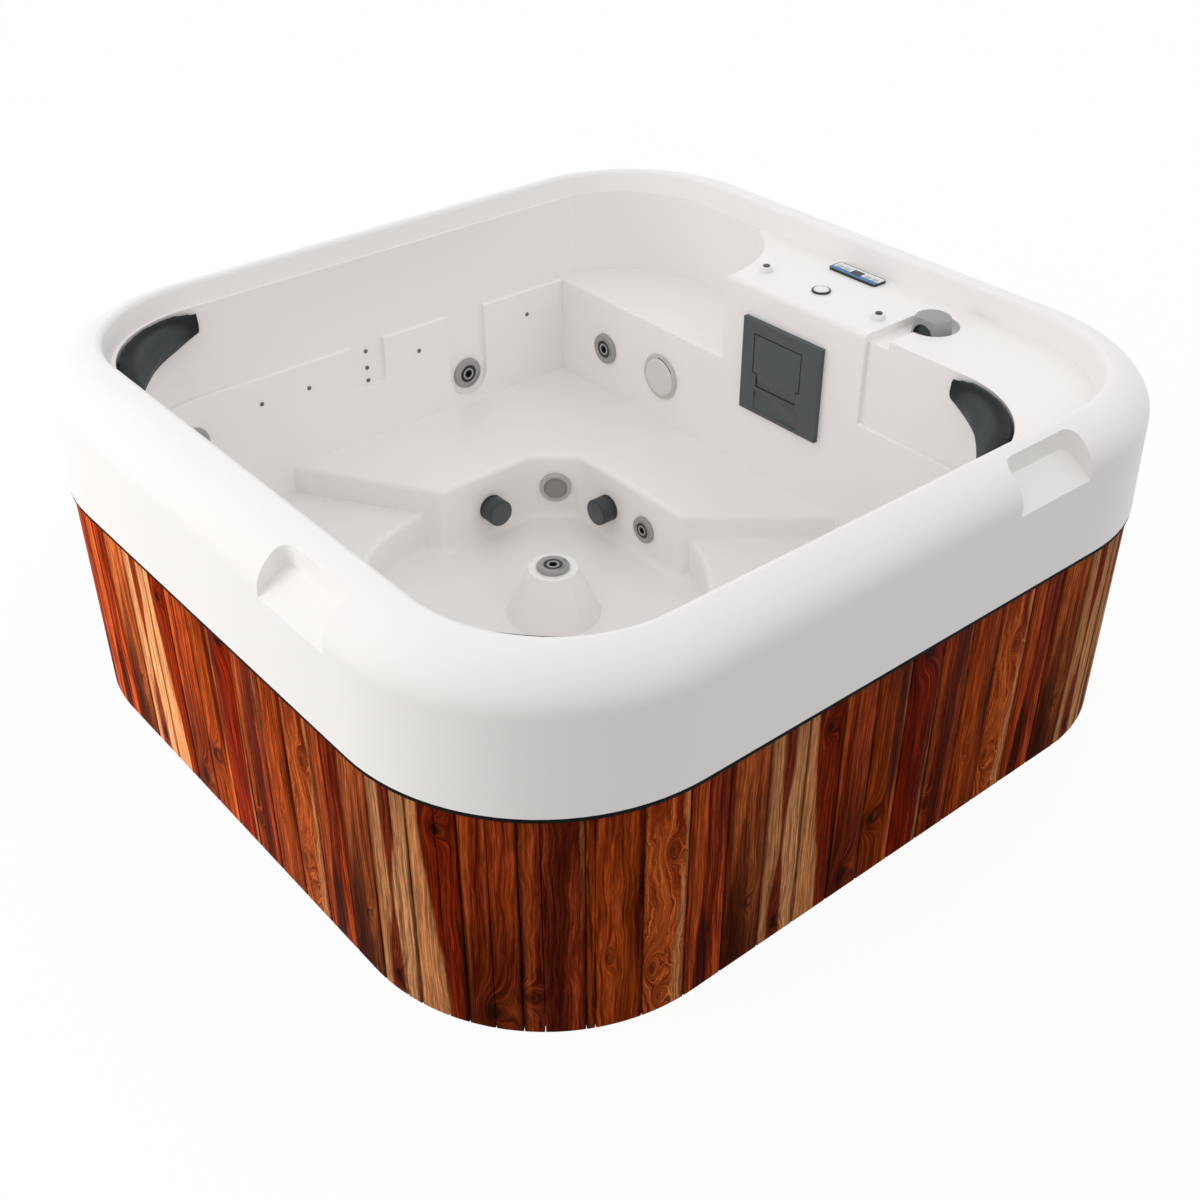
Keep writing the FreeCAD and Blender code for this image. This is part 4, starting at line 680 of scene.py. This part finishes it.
# %% [markdown]
# The three head rests are moulded foam: a firm crescent that follows the corner's wall, with a soft skin,
# a shallow valley along its crown and a full roll in front of it. The solid gives the place and the
# outline. A smoothed voxel remesh of it makes an even skin, drawn in by a few millimetres and then blown
# up again as cloth under pressure, so it fills out as foam does. The valley is pressed in after that.

# %% Foam skin
foam, tree, shader = bare_material("slate foam", Specular_IOR_Level=0.16)
where = object_place(tree)
cloud = noise(tree, where, 22.0, 4.0, 0.6)
# Painted shade and light: each pad is painted darker over its back half and lighter over its front roll.
pad_painted_light = spread(tree, swayed(tree, attribute(tree, "inward"), cloud, 0.16), 0.34, 0.66)
colour = mixed(tree, pad_painted_light, shade(22, 26, 27), shade(58, 64, 66))
colour = mixed(tree, times(tree, cloud, 0.22), colour, shade(44, 49, 50))
painted(tree, shader, colour, spread(tree, cloud, 0.3, 0.7, 0.52, 0.66))
bumped(tree, shader, noise(tree, where, 1300.0, 2.0, 0.5), 0.6, 0.00012)
print("foam ready")

# %% Blowing a pad up
pad_voxel, pad_drawn_in, pad_cap = 0.005, 0.003, 0.0042
cloth_pressure, cloth_frames = 4.0, 20


def applied(piece):
    """Makes what a piece's modifiers give its own mesh."""
    graph = bpy.context.evaluated_depsgraph_get()
    mesh = bpy.data.meshes.new_from_object(piece.evaluated_get(graph))
    piece.modifiers.clear()
    piece.data = mesh


def remeshed(piece):
    remesh = piece.modifiers.new("skin", "REMESH")
    remesh.mode = "VOXEL"
    remesh.voxel_size = pad_voxel
    even = piece.modifiers.new("even", "SMOOTH")
    even.factor = 0.5
    even.iterations = 6
    applied(piece)


def blown_up(piece):
    """Draws the skin in, lets cloth pressure fill it, and keeps each point within the cap of its start."""
    starts = [corner.co - corner.normal * pad_drawn_in for corner in piece.data.vertices]
    for corner, start in zip(piece.data.vertices, starts):
        corner.co = start
    cloth = piece.modifiers.new("pressure", "CLOTH")
    cloth.settings.use_pressure = True
    cloth.settings.uniform_pressure_force = cloth_pressure
    cloth.settings.effector_weights.gravity = 0.0
    for number in range(cloth_frames):
        scene.frame_set(number + 1)
    graph = bpy.context.evaluated_depsgraph_get()
    filled = [corner.co.copy() for corner in piece.evaluated_get(graph).data.vertices]
    piece.modifiers.clear()
    scene.frame_set(1)
    for corner, start, end in zip(piece.data.vertices, starts, filled):
        step = end - start
        if step.length > pad_cap:
            step *= pad_cap / step.length
        corner.co = start + step


print("pad helpers ready")

# %% Head pillows
wall_round = 0.2757
valley_share, valley_width, valley_depth = 0.46, 0.10, 0.0035
for name, east, north in (("pillow_left", -1, -1), ("pillow_near", 1, -1), ("pillow_right", 1, 1)):
    low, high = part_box(name)
    centre = Vector(((high.x if east > 0 else low.x) - east * wall_round,
                     (high.y if north > 0 else low.y) - north * wall_round, 0.0))
    pad = smooth_copy(name)
    remeshed(pad)
    blown_up(pad)
    reach = [(corner.co - centre).xy.length for corner in pad.data.vertices]
    thick = wall_round - min(reach)
    inward = pad.data.attributes.new("inward", "FLOAT", "POINT")
    normals = [corner.normal.copy() for corner in pad.data.vertices]
    for corner, normal, distance in zip(pad.data.vertices, normals, reach):
        share = (wall_round - distance) / thick
        inward.data[corner.index].value = share
        if normal.z > 0:
            valley = math.exp(-((share - valley_share) / valley_width) ** 2)
            corner.co -= normal * valley_depth * valley * normal.z
        if distance > wall_round:
            corner.co.xy = centre.xy + (corner.co - centre).xy * (wall_round / distance)
    pad.data.materials.clear()
    pad.data.materials.append(foam)
    pad.data.shade_smooth()
    smooth = pad.modifiers.new("smooth", "SUBSURF")
    smooth.levels = smooth.render_levels = 1
    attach(pad, "tub")
    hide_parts(name)
    print(name, "has", len(pad.data.polygons), "faces, is", round(thick * 1000), "mm thick")

# %% [markdown]
# The fittings are injection-moulded in a few colours: slate for the skimmer and the suction covers, greys
# for the jets and the return, white for collars and bodies. They share the moulded skin, each with its
# own grain.

# %% Fitting colours
grainy, sleek = (2200.0, 0.00004), (1800.0, 0.00003)
slate = moulded("slate plastic", shade(72, 78, 80), (0.42, 0.52), 0.08, 30.0, grainy)
dark_slate = moulded("dark slate", shade(48, 54, 55), (0.38, 0.48), 0.1, 30.0, grainy)
jet_grey = moulded("jet grey", shade(158, 157, 154), (0.30, 0.40), 0.06, 40.0, sleek)
jet_black = moulded("jet black", shade(30, 32, 33), (0.28, 0.40), 0.2, 40.0, sleek)
ring_grey = moulded("ring grey", shade(176, 176, 174), (0.28, 0.36), 0.06, 60.0)
return_grey = moulded("return grey", shade(182, 179, 176), (0.34, 0.44), 0.06, 40.0)
baffle_grey = moulded("baffle grey", shade(148, 145, 142), (0.34, 0.44), 0.1, 60.0)
knob_grey = moulded("knob grey", shade(152, 152, 151), (0.34, 0.44), 0.06, 40.0)
injector_grey = moulded("injector grey", shade(96, 97, 97), (0.35, 0.45), 0.1, 60.0)
fitting_white = moulded("fitting white", shade(238, 235, 232), (0.25, 0.35), 0.03, 30.0)
bezel_white = moulded("bezel white", shade(196, 192, 189), (0.25, 0.35), 0.04, 30.0)
lens_pale = moulded("pale lens", shade(220, 216, 213), (0.16, 0.24), 0.05, 30.0)
coat(slate, "pump_wet_end")
coat(injector_grey, "air_injectors")
coat(fitting_white, "jet_bodies", "jet_nuts", "light_cup", "suction_bodies", "pillow_pins")
coat(lens_pale, "light_lens")
print("fitting colours ready")

# %% [markdown]
# Jets, covers, collars and knobs are round, so each is a profile of radius and height, spun once and
# stood on the wall or deck that carries it. A joint's place and axis, or the box of the solid it stands
# for, says where. A face test picks the faces that are pressed in or take the second colour.


# %% Turned shapes
def turned(profile, steps=48, ring=False):
    """A profile of (radius, height) pairs in metres, spun once round Z."""
    shape = bmesh.new()
    corners = [shape.verts.new((radius, 0.0, height)) for radius, height in profile]
    pairs = list(zip(corners, corners[1:]))
    if ring:
        pairs.append((corners[-1], corners[0]))
    edges = [shape.edges.new(pair) for pair in pairs]
    bmesh.ops.spin(shape, geom=corners + edges, cent=(0, 0, 0), axis=(0, 0, 1), angle=math.tau,
                   steps=steps, use_merge=True)
    bmesh.ops.remove_doubles(shape, verts=shape.verts, dist=1e-6)
    bmesh.ops.recalc_face_normals(shape, faces=shape.faces)
    return shape


def second_colour(shape, chosen):
    for face in shape.faces:
        if chosen(face.calc_center_median()):
            face.material_index = 1
    return shape


def on_arc(front, inner, outer, start, end):
    """A test for faces on a flat front, between two radii and two angles."""
    def chosen(spot):
        angle = math.atan2(spot.y, spot.x)
        return spot.z > front - hair and inner < spot.xy.length < outer and start < angle < end

    return chosen


def sunk(shape, chosen, step):
    """Presses the chosen faces in, as one region, by a step that a function gives for each point."""
    faces = [face for face in shape.faces if chosen(face.calc_center_median())]
    made = bmesh.ops.extrude_face_region(shape, geom=faces)["geom"]
    bmesh.ops.delete(shape, geom=faces, context="FACES_ONLY")
    for corner in made:
        if isinstance(corner, bmesh.types.BMVert):
            corner.co += step(corner.co)


print("turned shapes ready")


# %% Turned pieces
def stood(shape, spot, axis=(0, 0, 1)):
    tilt = Vector((0, 0, 1)).rotation_difference(Vector(axis)).to_matrix().to_4x4()
    bmesh.ops.transform(shape, matrix=Matrix.Translation(Vector(spot)) @ tilt, verts=shape.verts)
    return shape


def new_look(node, body, slot, shapes, *materials):
    mesh = bpy.data.meshes.new(node + "_look")
    whole = bmesh.new()
    for shape in shapes:
        shape.to_mesh(mesh)
        shape.free()
        whole.from_mesh(mesh)
    whole.to_mesh(mesh)
    whole.free()
    for material in materials:
        mesh.materials.append(material)
    mesh.shade_smooth()
    mesh.set_sharp_from_angle(angle=sharp_angle)
    look = shown(node + "_look", mesh)
    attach(look, body)
    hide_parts(node)
    return look


sharp_angle = math.radians(35.0)
joints = {joint["name"]: joint for joint in frame["record"]["behaviour"]["joints"]}
print("joints:", len(joints))

# %% [markdown]
# A jet has a grey bezel that turns, with a curved groove for a finger, and a black nozzle that rises
# through it to a pale ring round a dark eye. The nozzle stays put while the bezel turns round it.

# %% Jets
throat_share, throat_gap, wall_gap = 0.58, 0.0008, 0.0005
groove_inner_share, groove_outer_share = 0.71, 0.80
groove_start, groove_end, groove_depth = math.radians(-15.0), math.radians(88.0), 0.0022
bezel_face, nozzle_face, nozzle_ring = 0.011, 0.0088, 0.0098
eye_share, ring_inner_share, ring_outer_share = 0.36, 0.50, 0.66
eye_floor, nozzle_foot = -0.004, -0.012


def jet_bezel(radius):
    throat = radius * throat_share
    inner, outer = radius * groove_inner_share, radius * groove_outer_share
    shape = turned([(throat, wall_gap), (radius, wall_gap), (radius, 0.005), (radius - 0.0012, 0.0082),
                    (radius - 0.0042, 0.0103), (outer, bezel_face), (inner, bezel_face),
                    (throat + 0.0025, bezel_face), (throat, bezel_face - 0.002)], ring=True)
    sunk(shape, on_arc(bezel_face, inner, outer, groove_start, groove_end),
         lambda spot: Vector((0.0, 0.0, -groove_depth)))
    return shape


def jet_nozzle(radius):
    neck = radius * throat_share - throat_gap
    eye, inner, outer = neck * eye_share, neck * ring_inner_share, neck * ring_outer_share
    shape = turned([(0, eye_floor), (eye, eye_floor), (eye, nozzle_face), (inner, nozzle_face),
                    (inner + 0.0005, nozzle_ring), (outer - 0.0005, nozzle_ring), (outer, nozzle_face),
                    (neck, nozzle_face), (neck, nozzle_foot), (0, nozzle_foot)])
    return second_colour(shape, lambda spot: spot.z > nozzle_face + hair)


nozzles = []
for name in sorted(n for n in nodes if n.startswith("jet_bezel_")):
    joint = joints[name.replace("bezel_", "") + "_turn"]
    low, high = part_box(name)
    radius = (high.z - low.z) / 2 if abs(joint["axis"][2]) < 0.5 else (high.x - low.x) / 2
    bezel = stood(jet_bezel(radius), joint["pos_m"], joint["axis"])
    new_look(name, joint["child"], "jet_grey", [bezel], jet_grey)
    nozzles.append(stood(jet_nozzle(radius), joint["pos_m"], joint["axis"]))
new_look("jet_nozzles", "tub", "jet_black", nozzles, jet_black, ring_grey)
print("jets:", len(nozzles))

# %% [markdown]
# The underwater light is a pale lens held by a bezel ring. A short slit at the ring's upper right is where a
# tool turns it out of its cup; its walls and floor are painted black, as painted shade.

# %% Underwater light
bezel_low, bezel_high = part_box("light_bezel")
lens_low, lens_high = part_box("light_lens")
lens_gap, flange_width, light_seat, light_edge = 0.0003, 0.0052, 0.0045, 0.0052
light_radius = (bezel_high.z - bezel_low.z) / 2
light_bore = (lens_high.z - lens_low.z) / 2 + lens_gap
light_flange = light_radius - flange_width
light_face = bezel_high.y - bezel_low.y
slit_inner, slit_outer, slit_depth = light_bore + 0.0008, light_bore + 0.0034, 0.002
slit_start, slit_end = math.radians(28.0), math.radians(96.0)
light_ring = turned([(light_bore, light_seat), (light_flange, light_seat), (light_flange, 0),
                     (light_radius, 0), (light_radius, light_edge),
                     (light_flange + 0.001, light_face - 0.0006), (slit_outer, light_face),
                     (slit_inner, light_face), (light_bore, light_face)], 72, ring=True)


# Painted shade: the faces inside the slit take black.
def slit_painted_shade(spot):
    in_reach = slit_inner - hair < spot.xy.length < slit_outer + hair
    return in_reach and light_edge < spot.z < light_face - slit_depth / 4


sunk(light_ring, on_arc(light_face, slit_inner, slit_outer, slit_start, slit_end),
     lambda spot: Vector((0.0, 0.0, -slit_depth)))
second_colour(light_ring, slit_painted_shade)
light_spot = ((bezel_low.x + bezel_high.x) / 2, bezel_high.y, (bezel_low.z + bezel_high.z) / 2)
stood(light_ring, light_spot, (0, -1, 0))
new_look("light_bezel", "tub", "fitting_white", [light_ring], bezel_white, jet_black)
print("light at", [round(value, 3) for value in light_spot])

# %% [markdown]
# The two suction covers are tall caps that draw water through slots near the wall, so nothing can be held
# against them. The return beside them is a shallow cup with a baffle.

# %% Suction covers
cap_radius, cap_height = 0.035, 0.046
slot_low, slot_high, slot_sink, slots_per_radian = 0.004, 0.011, 0.08, 8


def in_slot(spot):
    on_side = slot_low < spot.z < slot_high and spot.xy.length > cap_radius * 0.95
    return on_side and round(math.atan2(spot.y, spot.x) * slots_per_radian) % 2


def suction_cap():
    shape = turned([(0, wall_gap), (cap_radius, wall_gap), (cap_radius, slot_low), (cap_radius, slot_high),
                    (cap_radius, cap_height - 0.004), (cap_radius - 0.0012, cap_height - 0.0012),
                    (cap_radius - 0.004, cap_height), (0, cap_height)])
    sunk(shape, in_slot, lambda spot: Vector((spot.x, spot.y, 0.0)) * -slot_sink)
    return second_colour(shape, lambda spot: spot.z > cap_height - 0.0005)


bare = merged("suction_covers")
caps = []
for faces in islands_of(bare):
    points = [corner.co for face in faces for corner in face.verts]
    low = Vector([min(point[axis] for point in points) for axis in range(3)])
    high = Vector([max(point[axis] for point in points) for axis in range(3)])
    middle = (low + high) / 2
    if high.x - low.x < high.y - low.y:
        caps.append(stood(suction_cap(), (low.x, middle.y, middle.z), (1, 0, 0)))
    else:
        caps.append(stood(suction_cap(), (middle.x, high.y, middle.z), (0, -1, 0)))
bare.free()
print("suction caps:", len(caps))
new_look("suction_covers", "tub", "slate_plastic", caps, dark_slate, slate)

# %% Return
return_way = Vector((0.774, -0.633, 0.0)).normalized()
return_face, cup_radius = 0.007, 0.0302
flats = [face for face in nodes["return_fitting"].data.polygons if face.normal.dot(return_way) > 0.999]
return_spot = sum((face.center * face.area for face in flats), Vector()) / sum(face.area for face in flats)
mouth = turned([(0, 0.003), (0.027, 0.003), (0.0295, 0.005), (0.0305, 0.0105), (0.032, 0.012),
                (0.038, 0.012), (0.041, 0.009), (0.041, wall_gap), (0, wall_gap)])
second_colour(mouth, lambda spot: spot.xy.length < cup_radius and spot.z > 2 * wall_gap)
stood(mouth, return_spot - return_way * return_face, return_way)
new_look("return_fitting", "tub", "fitting_white", [mouth], return_grey, baffle_grey)
print("return at", [round(value, 3) for value in return_spot])

# %% [markdown]
# The skimmer's face plate is a flat slab with crisp edges, and its flap lies flush in the mouth, so only
# a thin line shows round it. Merged copies of both solids are reshaped: the plate's bevel is drawn out to
# a narrow one, and the flap's front comes forward to the plate's.

# %% Skimmer
wide_bevel, crisp_bevel = 0.009, 0.0015
plate = smooth_copy("skimmer_plate", 20.0)
low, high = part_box("skimmer_plate")
for corner in plate.data.vertices:
    if abs(corner.co.y - low.y) < hair:
        for axis in (0, 2):
            if abs(corner.co[axis] - low[axis] - wide_bevel) < hair:
                corner.co[axis] = low[axis] + crisp_bevel
            if abs(high[axis] - wide_bevel - corner.co[axis]) < hair:
                corner.co[axis] = high[axis] - crisp_bevel
    elif abs(corner.co.y - low.y - wide_bevel) < hair:
        corner.co.y = low.y + crisp_bevel
plate.data.materials.append(slate)
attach(plate, "tub")
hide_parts("skimmer_plate")

flap = smooth_copy("skimmer_weir", 20.0)
flap_axis = Vector(joints["weir_swing"]["pos_m"])
flap_half, knuckle = 0.0025, 0.006
for corner in flap.data.vertices:
    if abs(corner.co.y - flap_axis.y + flap_half) < hair and corner.co.z > flap_axis.z + knuckle:
        corner.co.y = low.y + hair
flap.data.materials.append(slate)
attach(flap, "weir")
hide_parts("skimmer_weir")
print("skimmer front at", round(low.y, 4))

# %% [markdown]
# On the console stand two air valves, a white collar with a small dark cap that turns, an air button with
# a thin black ring, and the diverter's squat knob. The knob has a flat front with an arched recess for
# the thumb: a plane cuts the flat, and a boolean with a short drum cuts the arch.

# %% Air valves and air button
deck_gap, collar_height, valve_radius = 0.0003, 0.012, 0.0085
cap_foot, cap_bevel, cap_top = collar_height + hair, collar_height + 0.002, collar_height + 0.003
collars = []
for side in ("left", "right"):
    joint = joints["air_valve_%s_turn" % side]
    spot = Vector(joint["pos_m"])
    collar = turned([(0, deck_gap), (0.0165, deck_gap), (0.0162, 0.008), (0.0150, 0.0108),
                     (0.0125, collar_height), (0, collar_height)])
    collars.append(stood(collar, spot))
    cap = turned([(0, cap_foot), (valve_radius, cap_foot), (valve_radius, cap_bevel), (0.0076, cap_top),
                  (0, cap_top)])
    new_look("air_valve_cap_" + side, joint["child"], "slate_plastic", [stood(cap, spot)], dark_slate)
new_look("air_valve_bodies", "tub", "fitting_white", collars, fitting_white)

button_low, button_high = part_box("air_button_cap")
button_spot = Vector(((button_low.x + button_high.x) / 2, (button_low.y + button_high.y) / 2, spot.z))
ring = turned([(0.0194, deck_gap), (0.0230, deck_gap), (0.0230, 0.0030), (0.0222, 0.0046),
               (0.0206, 0.0050), (0.0194, 0.0042)], ring=True)
new_look("air_button_body", "tub", "jet_black", [stood(ring, button_spot)], jet_black)
cap = turned([(0, wall_gap), (0.0187, wall_gap), (0.0187, 0.0045), (0.0178, 0.0058), (0.0090, 0.0054),
              (0, 0.0052)])
new_look("air_button_cap", "air_button", "fitting_white", [stood(cap, button_spot)], fitting_white)
print("valves and button ready")

# %% Diverter knob
knob_joint = joints["diverter_turn"]
knob_seat = Vector(knob_joint["pos_m"]) + Vector((0.0, 0.0, deck_gap))
flat_front, knob_steps = 0.033, 64
recess_depth, recess_radius, recess_rise, drum_spare = 0.010, 0.027, 0.003, 0.002
knob_shape = turned([(0, 0), (0.0455, 0), (0.0455, 0.006), (0.0430, 0.036), (0.0405, 0.0405),
                     (0.0350, 0.043), (0, 0.043)], knob_steps)
bmesh.ops.bisect_plane(knob_shape, geom=knob_shape.verts[:] + knob_shape.edges[:] + knob_shape.faces[:],
                       plane_co=(0, -flat_front, 0), plane_no=(0, -1, 0), clear_outer=True)
bmesh.ops.holes_fill(knob_shape, edges=[edge for edge in knob_shape.edges if edge.is_boundary])
stood(knob_shape, knob_seat)
knob = new_look("diverter_knob", knob_joint["child"], "jet_grey", [knob_shape], knob_grey, dark_slate)
drum_shape = turned([(0, -drum_spare), (recess_radius, -drum_spare), (recess_radius, recess_depth),
                     (0, recess_depth)], knob_steps)
stood(drum_shape, knob_seat + Vector((0.0, -flat_front, recess_rise)), (0, 1, 0))
drum = shown("drum", meshed("drum", drum_shape))
arch = knob.modifiers.new("arch", "BOOLEAN")
arch.object = drum
arch.solver = "EXACT"
applied(knob)
bpy.data.objects.remove(drum)
for face in knob.data.polygons:
    spot = face.center - knob_seat - Vector((0.0, 0.0, recess_rise))
    inner = -flat_front + hair < spot.y < -flat_front + recess_depth + hair
    face.material_index = int(inner and spot.xz.length < recess_radius + hair)
knob.data.set_sharp_from_angle(angle=sharp_angle)
print("knob faces in the recess:", sum(face.material_index for face in knob.data.polygons))

# %% [markdown]
# The control panel is a thin frame with a printed overlay: a dark line round its edge, a white field and
# a plain blue band along the front. Distances from the panel's own edges place the print, so it is drawn
# by Object coordinates on the bare solid. A dark display window and four soft keys sit in it.

# %% Control panel
panel_low, panel_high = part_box("topside_panel")
line_from, line_to = 0.0024, 0.0030
band_share, band_blur = 0.34, 0.0004
overlay, tree, shader = bare_material("panel overlay")
where = object_place(tree)
spot = parted(tree, where)
from_ends = maths(tree, "MINIMUM", minus(tree, spot["X"], panel_low.x), minus(tree, panel_high.x, spot["X"]))
from_sides = maths(tree, "MINIMUM", minus(tree, spot["Y"], panel_low.y), minus(tree, panel_high.y, spot["Y"]))
inside = spread(tree, maths(tree, "MINIMUM", from_ends, from_sides), line_from, line_to)
band_edge = panel_low.y + (panel_high.y - panel_low.y) * band_share
band = spread(tree, spot["Y"], band_edge - band_blur, band_edge + band_blur, 1.0, 0.0)
fleck = noise(tree, where, 400.0, 2.0, 0.5)
field = mixed(tree, fleck, shade(226, 226, 224), shade(238, 238, 236))
print_colour = mixed(tree, band, field, mixed(tree, fleck, shade(20, 98, 168), shade(34, 116, 186)))
colour = mixed(tree, inside, shade(24, 25, 26), print_colour)
painted(tree, shader, colour, spread(tree, fleck, 0.3, 0.7, 0.28, 0.36))
coat(overlay, "topside_panel")
coat(moulded("display window", shade(18, 22, 25), (0.08, 0.14), 0.1, 60.0), "topside_display")
coat(moulded("soft key", shade(186, 190, 194), (0.5, 0.6), 0.05, 90.0),
     *["topside_key_%d" % number for number in (1, 2, 3, 4)])
print("panel coated")

# %% [markdown]
# Below the rim the tub has a timber frame, a plastic base and its machinery. Little of it is ever seen,
# but a part that is opened or cut should still look like what it is.

# %% Frame, base and machinery
timber, tree, shader = bare_material("sawn timber")
stretched = place(tree, "ShaderNodeMapping", {"Vector": object_place(tree), "Scale": (60.0, 60.0, 4.0)})
rings = noise(tree, stretched.outputs[0], 1.0, 4.0, 0.6)
painted(tree, shader, mixed(tree, rings, shade(176, 138, 94), shade(222, 190, 146)), 0.7)
bumped(tree, shader, rings, 0.5, 0.0005)
coat(timber, "lower_rail", "upper_rail", "frame_posts")
coat(moulded("pipe white", shade(226, 226, 222), (0.3, 0.4), 0.03),
     "pressure_pipes", "suction_pipes", "skimmer_housing", "diverter_body")
coat(moulded("heater steel", shade(196, 196, 194), (0.22, 0.34), 0.1, 60.0, Metallic=1.0), "heater")
for node, finish, colour, gloss, drift, drift_scale, peel in (
        ("base_pan", "base sheet", shade(40, 41, 43), (0.5, 0.65), 0.2, 9.0, (500.0, 0.0002)),
        ("footwell_support", "support foam", shade(214, 206, 184), (0.8, 0.9), 0.15, 20.0, (240.0, 0.001)),
        ("filter_cartridge", "filter paper", shade(228, 232, 236), (0.85, 0.95), 0.08, 50.0, (700.0, 0.0004)),
        ("pump_motor", "motor paint", shade(54, 58, 62), (0.3, 0.45), 0.15, 20.0, (500.0, 0.0001)),
        ("control_box", "box paint", shade(188, 190, 193), (0.4, 0.5), 0.05, 12.0, (700.0, 0.0001))):
    coat(moulded(finish, colour, gloss, drift, drift_scale, peel), node)
print("machinery coated")
